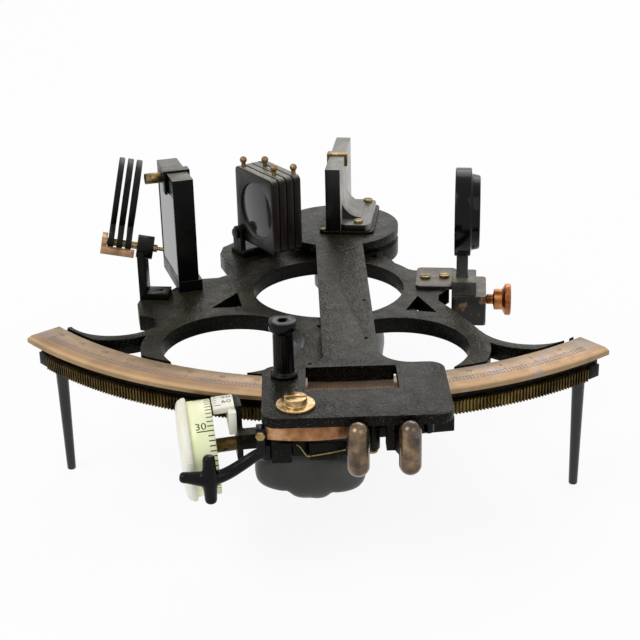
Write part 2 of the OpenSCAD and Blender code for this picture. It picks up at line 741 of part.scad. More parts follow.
module index_shade(i) {
    y = ishade_first + i * ishade_pitch;
    knob_u = i % 2 == 0 ? 5 - ishade_w / 2 + 3 * i : ishade_w / 2 - 9 + 2 * i;
    color("#222321") on_index_shades() translate([0, y - ishade_t / 2, 0]) difference() {
        union() {
            translate([-ishade_w / 2, ishade_t, ishade_z]) rotate([90, 0, 0]) linear_extrude(ishade_t)
                round_rect([ishade_w, ishade_h], 2.5);
            // ball-headed finger pin
            translate([knob_u, ishade_t / 2, ishade_z + ishade_h - 1]) {
                cylinder(r = 1, h = 4);
                translate([0, 0, 4.4]) sphere(r = 1.6);
            }
        }
        translate([1.2, -1, ishade_z + ishade_h / 2]) rotate([-90, 0, 0])
            cylinder(r = ishade_glass_r, h = ishade_t + 2);
        translate([ishade_pin_u, -1, ishade_pin_z]) rotate([-90, 0, 0])
            cylinder(r = ishade_pin_r + run_gap, h = ishade_t + 2);
    }
}

module index_filter(i) {
    y = ishade_first + i * ishade_pitch;
    color(["#4a4b4a", "#3b4038", "#4a2c22", "#33302c"][i]) on_index_shades()
        translate([1.2, y - ishade_t / 2 + 0.6, ishade_z + ishade_h / 2]) rotate([-90, 0, 0])
            cylinder(r = ishade_glass_r - seat_gap, h = ishade_t - 1.2);
}
module index_shade_1() index_shade(0);
module index_shade_2() index_shade(1);
module index_shade_3() index_shade(2);
module index_shade_4() index_shade(3);
module index_filter_1() index_filter(0);
module index_filter_2() index_filter(1);
module index_filter_3() index_filter(2);
module index_filter_4() index_filter(3);

// Telescope bracket: a plate on the frame with a slotted block outside it
// The arm passes over the plate and its screws
bracket_t = 1.5;
block_x = [55.6, 70.6];
block_y = [-72, -48];
block_low = -13.2;
block_top = 0.3;
tongue_w = 5;
tongue_l = 10;
tongue_x = scope_x + 1;
knob_z = -5.6;
knob_y = -60;
knob_shaft_r = 1.5;
scope_screw_at = [[43.6, -53], [52, -51.5]];
scope_screw_d = 2.2;

module scope_bracket() {
    color("#33332e") on_deck() difference() {
        union() {
            translate([39.6, -63.5, 0]) linear_extrude(bracket_t) round_rect([17.8, 22.5], 2.5);
            translate([54.6, -63.5, block_top - 3]) cube([3, 15.5, bracket_t - block_top + 3]);
            translate([block_x[0], block_y[0], block_low])
                linear_extrude(block_top - block_low)
                    round_rect([block_x[1] - block_x[0], block_y[1] - block_y[0]], 1.6);
        }
        translate([tongue_x - tongue_w / 2 - run_gap, -scope_y - tongue_l / 2 - run_gap, block_low + 2])
            cube([tongue_w + 2 * run_gap, tongue_l + 2 * run_gap, 40]);
        translate([tongue_x, knob_y, knob_z]) rotate([0, 90, 0])
            cylinder(r = knob_shaft_r + run_gap, h = 30);
        // room for the foot above the block
        translate([block_x[0] - 0.2, block_y[0] + 0.2, block_top]) cube([11.2, 16.6, 20]);
        for (p = scope_screw_at) translate([p.x, p.y, -1])
            cylinder(d = scope_screw_d + 2 * seat_gap, h = 20);
        translate([54.5, -63.6, -frame_t - 0.1]) cube([1.1, 16, frame_t + 0.1]);
    }
}

module scope_screws() {
    color("#b07a4e") on_deck() for (p = scope_screw_at) translate([p.x, p.y, bracket_t])
        slotted_screw(scope_screw_d, 4.6, 1, bracket_t);
}

// Foot and stem that carry the collar: the tongue slides up out of the block
module scope_foot() {
    foot_h = 6.5;
    stem_top = scope_z - collar_r + 1.2;
    color("#2e2f2b") on_deck() {
        translate([block_x[0], block_y[0] + 0.5, block_top]) cube([10.6, 16, foot_h]);
        translate([scope_x - 2.5, -scope_y - 3, block_top]) cube([5, 6, stem_top - block_top]);
        translate([tongue_x - tongue_w / 2, -scope_y - tongue_l / 2, block_top - 9.4])
            cube([tongue_w, tongue_l, 9.5]);
    }
}

module scope_ring() {
    stem_top = scope_z - collar_r + 1.2;
    color("#252622") on_deck() translate([scope_x, -scope_y, scope_z]) difference() {
        union() {
            translate([-collar_t / 2, 0, 0]) rotate([0, 90, 0]) cylinder(r = collar_r, h = collar_t);
            translate([collar_t / 2, 0, 0]) rotate([0, 90, 0])
                cylinder(r1 = nose_r, r2 = nose_r - 0.8, h = nose_l);
        }
        translate([-collar_t, 0, 0]) rotate([0, 90, 0])
            cylinder(r = collar_bore_r, h = collar_t + nose_l + 10);
        translate([-collar_t, -10, -collar_r - 5])
            cube([collar_t * 2 + nose_l, 20, stem_top - scope_z + collar_r + 5]);
    }
}

module scope_knob() {
    tip = block_x[1] - 2;
    color("#a5683c") on_deck() translate([tongue_x + tongue_w / 2 + run_gap + 0.1, knob_y, knob_z])
        rotate([0, 90, 0])
        rotate_extrude() polygon(let (o = block_x[1] - (tongue_x + tongue_w / 2 + run_gap + 0.1)) [
            [0, 0], [knob_shaft_r, 0], [knob_shaft_r, o + move_gap], [2.2, o + move_gap], [2.2, o + 3.2],
            [4.6, o + 3.6], [4.6, o + 7.2], [6.9, o + 8.4], [7, o + 10.6], [6.4, o + 11], [0, o + 11]]);
}

// Index arm: disc over the pivot, blade and end plate in one casting
module arm_2d() {
    circle(boss_r);
    translate([-blade_w / 2 - 0.5, -plate_inner_y - 5]) square([blade_w, plate_inner_y + 5]);
    translate([-plate_w / 2, -plate_outer_y])
        round_rect([plate_w, plate_outer_y - plate_inner_y], plate_corner_r);
    // fillets between the blade and the plate
    for (s = [-1, 1]) translate([s * (blade_w / 2) - 0.5, -plate_inner_y]) difference() {
        fillet = s > 0 ? 13 : 7;
        translate([s > 0 ? -0.1 : -fillet, -0.1]) square([fillet + 0.1, fillet + 0.1]);
        translate([s * fillet, fillet]) circle(fillet);
    }
}

// The cradle pivot's boss and the levers' seats hang from the end plate
cradle_boss_r = 5;

module index_arm() {
    color("#3a3a38") on_arm() difference() {
        union() {
            translate([0, 0, arm_low]) linear_extrude(arm_t) difference() {
                arm_2d();
                translate([-window_w / 2 - 1, -window_y - window_l]) square([window_w, window_l]);
            }
            translate([-cradle_pivot_x, -cradle_pivot_y, cradle_top + move_gap])
                cylinder(r = cradle_boss_r, h = arm_low + 1 - cradle_top - move_gap);
        }
        translate([0, 0, arm_low - 1]) cylinder(r = spindle_r + seat_gap, h = arm_t + 2);
        translate([-cradle_pivot_x, -cradle_pivot_y, -10]) cylinder(r = pivot_screw_r + seat_gap, h = 30);
        translate([lever_hub.x, lever_hub.y, 0]) cylinder(r = lever_pin_r + seat_gap, h = arm_low + 2.3);
        translate([-post_x, -post_y, arm_top - 2]) cylinder(r = 2 + seat_gap, h = 5);
        for (p = fixed_screw_at) translate([p.x, p.y, 0]) cylinder(r = 1.2, h = 5);
        // two blind pits in the blade
        for (p = [[7.5, -94.6], [6.3, -133.7]]) translate([p.x, p.y, arm_top - 0.8])
            cylinder(r = 0.8, h = 2);
    }
}

module spindle() {
    thread_low = boss_low - 4;
    color("#b8a26a") on_arm() {
        translate([0, 0, boss_low]) cylinder(r = spindle_r, h = arm_top - boss_low);
        translate([0, 0, thread_low]) cylinder(r = spindle_r - 1.5, h = -thread_low + boss_low);
    }
}

module spindle_nut() {
    color("#9a8350") on_arm() translate([0, 0, boss_low - 3.4]) difference() {
        cylinder(r = 7, h = 3.2, $fn = 6);
        translate([0, 0, -1]) cylinder(r = spindle_r - 1.5, h = 8);
    }
}

// Index mirror, in its own frame: X along the glass's normal, Y along its length
module on_index_mirror()
    on_arm() rotate([0, 0, index_turn]) translate([-1, index_back, arm_top]) children();
foot_screw_at = [[11.5, -22], [13.5, 8.5]];

module index_base() {
    color("#1c1c1a") on_index_mirror() difference() {
        translate([-7, -27.5, 0]) linear_extrude(index_base_t) round_rect([26, 41], 4);
        for (p = foot_screw_at) translate([p.x, p.y, -1]) cylinder(r = 1.1 + seat_gap, h = 5);
        translate([-5, -25, -1]) cylinder(r = 1.1 + seat_gap, h = 5);
    }
}

module index_frame() {
    foot_w = 15;
    foot_h = 3;
    color("#232321") on_index_mirror() difference() {
        union() {
            translate([-index_t / 2, -index_l / 2, index_base_t]) cube([index_t, index_l, index_h]);
            // foot behind the mirror, and the hollow curve up from it
            translate([index_t / 2 - 1, -26, index_base_t]) linear_extrude(foot_h)
                round_rect([foot_w, 38], 4);
            translate([index_t / 2 - 0.5, 5, index_base_t]) rotate([90, 0, 0])
                linear_extrude(23) difference() {
                square([9.5, 14]);
                translate([10, 14]) circle(r = 10);
            }
        }
        translate([-index_t / 2 - 1, -index_l / 2 + glass_rim, index_base_t + glass_rim])
            cube([glass_t + 1.2, index_l - 2 * glass_rim, index_h - 2 * glass_rim]);
        for (p = foot_screw_at) translate([p.x, p.y, -1]) cylinder(r = 1.1 + seat_gap, h = 10);
        translate([-5, -25, 0]) cylinder(r = 1.1 + seat_gap, h = 1);
    }
}

module index_glass() {
    color("#b9c2c4") on_index_mirror()
        translate([-index_t / 2 + 0.2, -index_l / 2 + glass_rim + seat_gap,
            index_base_t + glass_rim + seat_gap])
            cube([glass_t, index_l - 2 * glass_rim - 2 * seat_gap, index_h - 2 * glass_rim - 2 * seat_gap]);
}

// Two clips over the top edge that hold the index glass
module index_clips() {
    clip_out = 1.4;
    color("#8d8a74") on_index_mirror() for (y = [-5]) {
        translate([-index_t / 2 - clip_out, y, index_base_t + index_h - 4.2]) cube([clip_out, 5, 4.2]);
        translate([-index_t / 2 - clip_out, y, index_base_t + index_h])
            cube([index_t + 2 * clip_out, 5, 1]);
        translate([index_t / 2, y, index_base_t + index_h - 5]) cube([clip_out, 5, 5]);
    }
}

module index_screws() {
    color("#b07a4e") on_index_mirror() {
        for (p = foot_screw_at) translate([p.x, p.y, index_base_t + 3])
            slotted_screw(2.2, 4.4, 1.3, index_base_t + 3);
        translate([-5, -25, index_base_t]) slotted_screw(2.2, 2.8, 0.8, index_base_t);
    }
}

// Socket post on the end plate, for the reading magnifier
post_top = arm_top + post_h;
post_bore_r = 1.7;
post_bore_l = 9;

module socket_post() {
    color("#151514") on_arm() translate([-post_x, -post_y, 0]) difference() {
        rotate_extrude()
            polygon([[0, arm_top - 2], [2, arm_top - 2], [2, arm_top], [5.2, arm_top],
                [5.2, arm_top + 1.6], [4, arm_top + 2.2], [3.9, post_top - 4.6],
                [5.2, post_top - 3.6], [5.2, post_top], [0, post_top]]);
        translate([0, 0, post_top - post_bore_l]) cylinder(r = post_bore_r, h = post_bore_l + 1);
    }
}

// Brass screw and washer on which the worm's cradle turns
pivot_screw_r = 2;
washer_r = 7.2;

module pivot_screw() {
    washer_t = 1.1;
    low = cradle_low - 0.4;
    color("#c09a5c") on_arm() translate([-cradle_pivot_x, -cradle_pivot_y, arm_top]) {
        translate([0, 0, washer_t]) slotted_screw(2 * pivot_screw_r, 8.5, 2.6, washer_t - low + arm_top);
        difference() {
            cylinder(r = washer_r, h = washer_t);
            translate([0, 0, -1]) cylinder(r = pivot_screw_r, h = 4);
        }
    }
}

// Bronze leaf spring under the end plate's outer edge
module leaf_spring() {
    spring_r = 55;
    leaf_t = 0.8;
    color("#a5683c") on_arm() translate([-17.5, 1.6 - plate_outer_y + spring_r, lug_top + 0.1])
        linear_extrude(arm_low - lug_top - 0.1) sector_2d(spring_r - leaf_t, spring_r, 16.5);
}

// Grip bead of a pinch lever
module bead() {
    rotate_extrude() polygon(concat(
        [for (a = [-90 : 15 : 0]) [bead_r * cos(a), bead_r + bead_r * sin(a)]],
        [for (a = [0 : 15 : 90]) [bead_r * cos(a), bead_h - bead_r + bead_r * sin(a)]]));
}
lever_pin_r = 1.5;
hub_r = 3.3;
fixed_screw_at = [[fixed_hub.x, fixed_hub.y], [fixed_hub.x + 8, fixed_hub.y]];

// Web from a hub to its bead, seen from above
module lever_web_2d(from, to, w) {
    d = to - from;
    translate(from) rotate(atan2(d.y, d.x)) translate([0, -w / 2]) square([norm(d), w]);
}

module fixed_lever() {
    bead_at = [18.2, bead_y];
    color("#8a6f58") on_arm() {
        translate([bead_at.x, bead_at.y, bead_low]) bead();
        translate([0, 0, lever_z]) linear_extrude(arm_low - lever_z - 0.1)
            lever_web_2d(fixed_hub, bead_at + [0, 1.2], 2.8);
        translate([fixed_hub.x - hub_r, fixed_hub.y - hub_r, lever_z])
            cube([2 * hub_r, 2 * hub_r, arm_low - lever_z]);
        translate([fixed_hub.x, fixed_hub.y - 3, -1]) cube([11, 6, arm_low + 1]);
        for (p = fixed_screw_at) translate([p.x, p.y, arm_low]) cylinder(r = 1.2 - seat_gap, h = 2);
    }
}

module release_lever() {
    bead_at = [-0.4, bead_y];
    color("#8a6f58") on_arm() difference() {
        union() {
            translate([bead_at.x, bead_at.y, bead_low]) bead();
            translate([0, 0, lever_z]) linear_extrude(arm_low - lever_z - move_gap) {
                lever_web_2d(lever_hub, bead_at + [0, 1.2], 2.8);
                translate(lever_hub) circle(hub_r);
                // nose that pushes the cradle's hook
                translate([lever_hub.x - 5.6, lever_hub.y - 1.5]) square([5.6, 3]);
            }
        }
        translate([lever_hub.x, lever_hub.y, lever_z - 1]) cylinder(r = lever_pin_r + run_gap, h = 30);
    }
}

module lever_pin() {
    color("#a98f4e") on_arm() translate([lever_hub.x, lever_hub.y, lever_z - 1.4]) {
        cylinder(r = lever_pin_r, h = arm_low - lever_z + 3.4);
        cylinder(r = lever_pin_r + 1, h = 1);
    }
}

// Cradle that carries the worm's shaft between two bearings
bearing_left = [-drum_t + 8, -drum_t + 10.2];
bearing_right = [worm_l / 2 + 1.2, worm_l / 2 + 5.2];
bar_n = [-13.5, -8];

module worm_cradle() {
    left_x = (bearing_left[0] + bearing_left[1]) / 2;
    right_x = (bearing_right[0] + bearing_right[1]) / 2;
    left_w = bearing_left[1] - bearing_left[0];
    right_w = bearing_right[1] - bearing_right[0];
    block_n = worm_root_r - 0.4;
    lean = tan(worm_tilt);
    color("#1f1f1e") difference() {
        union() {
            along_worm() {
                // left bearing's plate and foot
                translate([bearing_left[0], 0, 0]) rotate([90, 0, 90]) linear_extrude(left_w)
                    polygon([[-12.5, -10.6], [-4.5, -10.6], [-4.5, -20.5], [4.5, -20.5],
                        [4.5, 2.5], [-4.5, 2.5], [-4.5, -5.4], [-12.5, -5.4]]);
                // right bearing and foot
                translate([bearing_right[0], 0, 0]) rotate([90, 0, 90]) linear_extrude(right_w)
                    polygon([[-12.5, -10.6], [-4.6, -10.6], [-3.6, -15], [-1.4, -16.2], [1.2, -16.2],
                        [block_n, -15], [block_n, -7], [block_n - 1, -5.4], [-12.5, -5.4]]);
                // bar between the bearings
                translate([bearing_left[0] + 1, bar_n[0], cradle_low])
                    cube([bearing_right[1] - bearing_left[0] - 0.6, bar_n[1] - bar_n[0],
                        cradle_top - cradle_low]);
            }
            on_arm() translate([-cradle_pivot_x, -cradle_pivot_y, 0]) {
                // boss round the pivot screw, with the left lug
                translate([0, 0, cradle_low + 0.2])
                    cylinder(r = cradle_boss_r + 1, h = cradle_top - cradle_low - 0.3);
                translate([-9.2, -6.7, -13]) cube([7.3, 14, cradle_top + 12.8]);
                translate([-5, 0, cradle_low + 0.4]) cube([10, 12, cradle_top - cradle_low - 0.8]);
                // hook that the release lever pulls
                translate([4.5, -6, -10.9])
                    cube([lever_hub.x + cradle_pivot_x - 8.9, 3.2, cradle_top + 10.6]);
                translate([4.4, -5.8, -10.7]) cube([6, 14, cradle_top + 10.2]);
                translate([4.8, -6.6, -12.2]) cube([9.8, 3.6, cradle_top + 11.7]);
            }
        }
        along_worm() {
            translate([bearing_left[0] - 1, 0, worm_z + left_x * lean]) rotate([0, 90, 0])
                cylinder(r = shaft_r + run_gap + lean * left_w / 2, h = left_w + 2);
            translate([bearing_right[0] - 1, 0, worm_z + right_x * lean]) rotate([0, 90, 0])
                cylinder(r = journal_r + run_gap + lean * right_w / 2, h = right_w + 2);
        }
        on_arm() translate([-cradle_pivot_x, -cradle_pivot_y, cradle_low - 3])
            cylinder(r = pivot_screw_r + run_gap, h = 30);
    }
}

// White block beside the drum that carries its index lines
index_block_low_r = 15.6;
index_block_high_r = barrel_r + 0.4;
index_block_gap = 0.6;

module drum_index() {
    start = -drum_t + index_block_gap;
    stop = bearing_left[0];
    far = 2 * barrel_r;
    color("#e6e4d2") {
        // curved top, in line with the drum's edge
        on_worm_axis() intersection() {
            translate([start, 0, 0]) rotate([0, 90, 0]) difference() {
                cylinder(r = index_block_high_r, h = stop - start + 0.6);
                translate([0, 0, -1]) cylinder(r = index_block_low_r, h = stop - start + 3);
            }
            translate([start - 1, 0, 0]) rotate([90, 0, 90]) linear_extrude(20)
                polygon([[0, 0], far * [cos(52), sin(52)], [0, 2 * far], far * [cos(105), sin(105)]]);
        }
        // leg against the bearing's plate
        along_worm() translate([stop - 2.9, -8, -7.5]) cube([2.9, 12, 9]);
    }
}

// Three-lobed rest on a curved arm in front of the drum
module finger_rest() {
    centre = [-31.7, -11.7];
    rest_z = -16;
    lobe_r = 2.6;
    color("#1c1c1b") on_arm() translate([-cradle_pivot_x, -cradle_pivot_y, 0]) {
        // curved arm that rises to the cradle's lug
        translate([-10.2, -4.1, 0]) rotate([90, 0, 19.5]) linear_extrude(4.4, center = true)
            polygon([[0, -6.6], [0, -10.8], [-6.5, -12.6], [-12, -15.4], [-17, -17.6], [-22.8, -18.2],
                [-22.8, -13.8], [-17.5, -13], [-12.5, -11], [-7, -8.4]]);
        translate([-12.7, -6.3, -12.4]) cube([3.5, 4.4, 6.4]);
        for (a = [0, 90, 180]) translate([centre.x, centre.y, rest_z]) rotate([0, a + 180, 0]) {
            cylinder(r = lobe_r, h = a == 90 ? 9 : 7.5);
            translate([0, 0, a == 90 ? 9 : 7.5]) sphere(r = lobe_r);
        }
    }
}

// Worm thread: columns of points round the axis, each a little further along
worm_sides = 24;
worm_profile = [[0, worm_root_r], [0.574, worm_root_r], [0.684, worm_r], [0.890, worm_r]];
worm_crest = (0.684 + 0.890) / 2;

function worm_point(i, j) =
    let (k = len(worm_profile), q = worm_profile[j % k], a = 360 * i / worm_sides)
    [worm_lead * (floor(j / k) + q[0] + i / worm_sides), q[1] * cos(a), q[1] * sin(a)];

module worm_solid(bore_r) {
    k = len(worm_profile);
    m = worm_sides;
    rows = (worm_turns - 1) * k + 1;
    grid = [for (i = [0 : m - 1], j = [0 : rows - 1]) worm_point(i, j)];
    low_x = -worm_lead * 0.6;
    high_x = worm_point(m - 1, rows - 1)[0] + worm_lead * 0.6;
    low_ring = [for (i = [0 : m - 1]) [low_x, bore_r * cos(360 * i / m), bore_r * sin(360 * i / m)]];
    high_ring = [for (i = [0 : m - 1]) [high_x, bore_r * cos(360 * i / m), bore_r * sin(360 * i / m)]];
    lo = len(grid);
    hi = lo + m;
    last = (m - 1) * rows;
    sides = [for (i = [0 : m - 2], j = [0 : rows - 2])
        let (a = i * rows + j) each [[a, a + 1, a + rows], [a + 1, a + rows + 1, a + rows]]];
    seam = [for (j = [0 : rows - 2 - k])
        let (a = last + j, b = j + k) each [[a, a + 1, b], [a + 1, b + 1, b]]];
    bore = [for (i = [0 : m - 1]) let (n = (i + 1) % m)
        each [[lo + i, lo + n, hi + i], [lo + n, hi + n, hi + i]]];
    low_cap = [for (i = [0 : m - 2])
        each [[lo + i, i * rows, lo + i + 1], [lo + i + 1, i * rows, (i + 1) * rows]]];
    low_seam = concat([[lo + m - 1, last, lo], [lo, last, k]], [for (j = [k : -1 : 1]) [lo, j, j - 1]]);
    top = rows - 1;
    high_cap = [for (i = [0 : m - 2])
        each [[hi + i, hi + i + 1, i * rows + top], [hi + i + 1, (i + 1) * rows + top, i * rows + top]]];
    high_seam = concat([[hi, top, hi + m - 1]],
        [for (j = [0 : k - 1]) [hi + m - 1, last + top - k + j, last + top - k + j + 1]],
        [[hi + m - 1, top, last + top - k]]);
    polyhedron(concat(grid, low_ring, high_ring),
        concat(sides, seam, bore, low_cap, low_seam, high_cap, high_seam));
}

module worm() {
    bore_r = journal_r / cos(180 / worm_sides);
    color("#9c8650") on_worm_axis() translate([-worm_l / 2 + (1 - worm_crest) * worm_lead, 0, 0])
        worm_solid(bore_r);
}

module worm_shaft() {
    shoulder = -worm_l / 2 - 1;
    color("#a58e52") on_worm_axis() rotate([0, 90, 0]) {
        translate([0, 0, -drum_t - barrel_l]) cylinder(r = shaft_r, h = drum_t + barrel_l + shoulder);
        translate([0, 0, shoulder - 0.01]) cylinder(r = journal_r, h = worm_l / 2 + 6.6 - shoulder);
    }
}

module drum() {
    color("#e9e7d6") on_worm_axis() translate([-drum_t - barrel_l - grip_l, 0, 0])
        rotate([0, 90, 0]) difference() {
        union() {
            cylinder(r = drum_r, h = grip_l);
            cylinder(r = barrel_r, h = grip_l + barrel_l);
        }
        translate([0, 0, grip_l + 3]) cylinder(r = barrel_r - 2, h = barrel_l);
        translate([0, 0, grip_l]) cylinder(r = shaft_r + seat_gap, h = barrel_l);
    }
}

frame();
scale_strip();
rack();
rack_stops();
rack_screws();
front_legs();
rear_leg();
pivot_bush();
handle_body();
handle_cap();
handle_posts();
horizon_base();
horizon_frame();
horizon_glass();
horizon_clips();
horizon_screws();
shade_post();
shade_pin();
shade_stop();
horizon_shade_1();
horizon_shade_2();
horizon_shade_3();
horizon_filter_1();
horizon_filter_2();
horizon_filter_3();
index_shade_bracket();
index_shade_pin();
index_shade_1();
index_shade_2();
index_shade_3();
index_shade_4();
index_filter_1();
index_filter_2();
index_filter_3();
index_filter_4();
scope_bracket();
scope_screws();
scope_foot();
scope_ring();
scope_knob();
index_arm();
spindle();
spindle_nut();
index_base();
index_frame();
index_glass();
index_clips();
index_screws();
socket_post();
pivot_screw();
leaf_spring();
fixed_lever();
lever_pin();
worm_cradle();
drum_index();
finger_rest();
worm();
worm_shaft();
drum();
release_lever();
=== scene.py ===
"""Looks of the sextant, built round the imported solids. Lengths are in millimetres until a mesh is made."""
import json
import math
import bmesh
import bpy
from mathutils import Matrix, Quaternion, Vector

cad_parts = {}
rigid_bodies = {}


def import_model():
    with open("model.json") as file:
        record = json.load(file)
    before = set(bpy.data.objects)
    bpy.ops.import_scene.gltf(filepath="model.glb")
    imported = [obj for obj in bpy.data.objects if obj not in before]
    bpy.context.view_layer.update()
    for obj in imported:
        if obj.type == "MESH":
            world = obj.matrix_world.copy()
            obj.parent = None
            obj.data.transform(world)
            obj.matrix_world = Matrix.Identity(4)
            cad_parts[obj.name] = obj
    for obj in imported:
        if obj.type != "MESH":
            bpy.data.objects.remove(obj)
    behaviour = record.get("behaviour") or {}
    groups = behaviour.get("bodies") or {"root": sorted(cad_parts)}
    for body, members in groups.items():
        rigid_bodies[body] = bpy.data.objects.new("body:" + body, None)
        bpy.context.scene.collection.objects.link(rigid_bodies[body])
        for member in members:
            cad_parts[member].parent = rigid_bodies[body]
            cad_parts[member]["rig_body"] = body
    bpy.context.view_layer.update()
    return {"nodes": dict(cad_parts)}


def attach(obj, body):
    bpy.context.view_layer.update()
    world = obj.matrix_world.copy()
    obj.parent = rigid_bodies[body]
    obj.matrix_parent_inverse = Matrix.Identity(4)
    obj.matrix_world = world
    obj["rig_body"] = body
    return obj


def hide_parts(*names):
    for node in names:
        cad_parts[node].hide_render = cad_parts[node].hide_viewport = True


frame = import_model()
NODES = frame["nodes"]
MM = 0.001
UP = (0, 0, 1)

# Sizes that the part's source also has, or that follow from them
DECK_Z = 66.4
STRIP_R = 171
ARM_REST = 7
PLATE_OUT = 201.5
WINDOW_IN = 159.4
WORM_ANGLE = 7
WORM_AXIS_R = 170.52
WORM_Z = -11.1
WORM_TILT = 3.5154
SHADES_AT = (-29.5, -28.1, 0)
SHADES_TURN = -50
SHADE_W = 31.7
SHADE_TOP = 42.9
SHADE_PITCH = 3.95
DRUM_R = 19.5
BARREL_R = 18.0
DRUM_IN = 74.4
BARREL_L = 9.2
GRIP_L = 4.5
HANDLE_X = 1.0
HANDLE_W = 45
HANDLE_H = 20.4
HANDLE_DROP = 32
LEVER_HUB_Y = 9.5 - PLATE_OUT
BEAD_Y = -PLATE_OUT - 4.5
PINCH_HUB_X = 5
FIXED_HUB_X = 13.6

# The camera stands where the photograph was taken, in metres
CAMERA_AT = (0.0615, -0.6638, 0.3140)
CAMERA_LOOK = (-0.0980, 0.9104, -0.4020)
CAMERA_ROLL = -1.366
CAMERA_LENS = 82.56
CAMERA_SHIFT = 0.0054

# Lamps as name, place, size and power; each points at the middle of the part
LAMPS = (
    ("key", (-0.9, -0.9, 1.5), 1.0, 14),
    ("fill", (0.9, -1.1, 1.2), 1.0, 4),
    ("rim", (0.2, 1.4, 1.3), 1.2, 10),
)
LAMP_AIM = (0, -0.08, 0.06)
SURROUND_LIGHT = 0.45
FLOOR_GREY = 0.93
FLOOR_WHITE_SHARE = 0.9


# Frames of the model
def turn(axis, degrees):
    return Matrix.Rotation(math.radians(degrees), 4, axis)


def move(x, y, z):
    return Matrix.Translation((x, y, z))


DECK = move(0, 0, DECK_Z)
ARM = DECK @ turn("Z", ARM_REST)
LEVEL_WORM = ARM @ turn("Z", WORM_ANGLE) @ move(0, -WORM_AXIS_R, 0)
WORM = LEVEL_WORM @ move(0, 0, WORM_Z) @ turn("Y", -WORM_TILT)
SHADES = DECK @ move(*SHADES_AT) @ turn("Z", SHADES_TURN)


# Mesh tools
def finish_mesh(me, smooth=40):
    me.validate()
    me.shade_smooth()
    me.set_sharp_from_angle(angle=math.radians(smooth))
    me.update()


def new_object(name, me, mat, body, stands_for=()):
    ob = bpy.data.objects.new(name, me)
    bpy.context.scene.collection.objects.link(ob)
    me.materials.clear()
    me.materials.append(mat)
    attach(ob, body)
    if stands_for:
        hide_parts(*stands_for)


def bake_modifiers(ob):
    deps = bpy.context.evaluated_depsgraph_get()
    me = bpy.data.meshes.new_from_object(ob.evaluated_get(deps))
    old = ob.data
    ob.modifiers.clear()
    ob.data = me
    bpy.data.meshes.remove(old)
    return me


def bevel_mesh(me, width, segments=2, angle=32):
    """A new mesh with its sharp edges rounded by width, in millimetres."""
    tmp = bpy.data.objects.new("tmp", me)
    bpy.context.scene.collection.objects.link(tmp)
    mod = tmp.modifiers.new("bevel", "BEVEL")
    mod.width = width * MM
    mod.segments = segments
    mod.limit_method = "ANGLE"
    mod.angle_limit = math.radians(angle)
    mod.use_clamp_overlap = True
    out = bake_modifiers(tmp)
    bpy.data.objects.remove(tmp)
    return out


def mesh_from(name, verts, faces, smooth=40, width=0):
    me = bpy.data.meshes.new(name)
    me.from_pydata([Vector(v) * MM for v in verts], [], faces)
    bm = bmesh.new()
    bm.from_mesh(me)
    bmesh.ops.remove_doubles(bm, verts=bm.verts, dist=1e-7)
    bmesh.ops.recalc_face_normals(bm, faces=bm.faces)
    bm.to_mesh(me)
    bm.free()
    if width:
        me = bevel_mesh(me, width)
    me.name = name
    finish_mesh(me, smooth)
    return me


def ring_of(r, z, sides):
    angles = [2 * math.pi * i / sides for i in range(sides)]
    return [(r * math.cos(a), r * math.sin(a), z) for a in angles]


def wall_faces(a, b, sides):
    """Four-sided faces between two rings of points that start at a and at b."""
    return [[a + i, a + (i + 1) % sides, b + (i + 1) % sides, b + i] for i in range(sides)]


def lathe(profile, sides=96):
    """Vertices and faces of a turned form about Z. profile is a list of (radius, height)."""
    verts, faces, rows = [], [], []
    for r, z in profile:
        if r < 1e-6:
            rows.append([len(verts)] * sides)
            verts.append((0, 0, z))
        else:
            rows.append(list(range(len(verts), len(verts) + sides)))
            verts += ring_of(r, z, sides)
    for a, b in zip(rows, rows[1:]):
        for i in range(sides):
            n = (i + 1) % sides
            loop = list(dict.fromkeys((a[i], a[n], b[n], b[i])))
            if len(loop) > 2:
                faces.append(loop)
    return verts, faces


def prism(outline, z0, z1):
    n = len(outline)
    verts = [(x, y, z0) for x, y in outline] + [(x, y, z1) for x, y in outline]
    faces = [list(range(n))[::-1], list(range(n, 2 * n))]
    return verts, faces + wall_faces(0, n, n)


def box(x0, x1, y0, y1, z0, z1):
    return prism([(x0, y0), (x1, y0), (x1, y1), (x0, y1)], z0, z1)


def put(place, part):
    return [tuple(place @ Vector(v)) for v in part[0]], part[1]


def together(parts):
    verts, faces = [], []
    for v, f in parts:
        base = len(verts)
        verts += v
        faces += [[i + base for i in g] for g in f]
    return verts, faces


def smooth_path(points, steps=8):
    """A Catmull-Rom curve through the points."""
    pts = [points[0]] + list(points) + [points[-1]]
    out = []
    for i in range(1, len(pts) - 2):
        p0, p1, p2, p3 = (Vector(p) for p in pts[i - 1:i + 3])
        for k in range(steps):
            t = k / steps
            out.append(0.5 * ((2 * p1) + (p2 - p0) * t + (2 * p0 - 5 * p1 + 4 * p2 - p3) * t * t
                              + (3 * p1 - p0 - 3 * p2 + p3) * t * t * t))
    out.append(Vector(pts[-2]))
    return out


def sweep(path, radii, sides=16, up=UP):
    """A round rod along the path, with one radius or one for each of its points."""
    verts, faces = [], []
    n = len(path)
    for i, p in enumerate(path):
        t = (Vector(path[min(i + 1, n - 1)]) - Vector(path[max(i - 1, 0)])).normalized()
        side = t.cross(Vector(up))
        side = side.normalized() if side.length > 1e-4 else Vector((1, 0, 0))
        top = side.cross(t).normalized()
        r = radii[i] if hasattr(radii, "__len__") else radii
        for k in range(sides):
            a = 2 * math.pi * k / sides
            verts.append(tuple(Vector(p) + side * r * math.cos(a) + top * r * math.sin(a)))
    for i in range(n - 1):
        faces += wall_faces(i * sides, (i + 1) * sides, sides)
    faces.append(list(range(sides))[::-1])
    faces.append(list(range((n - 1) * sides, n * sides)))
    return verts, faces


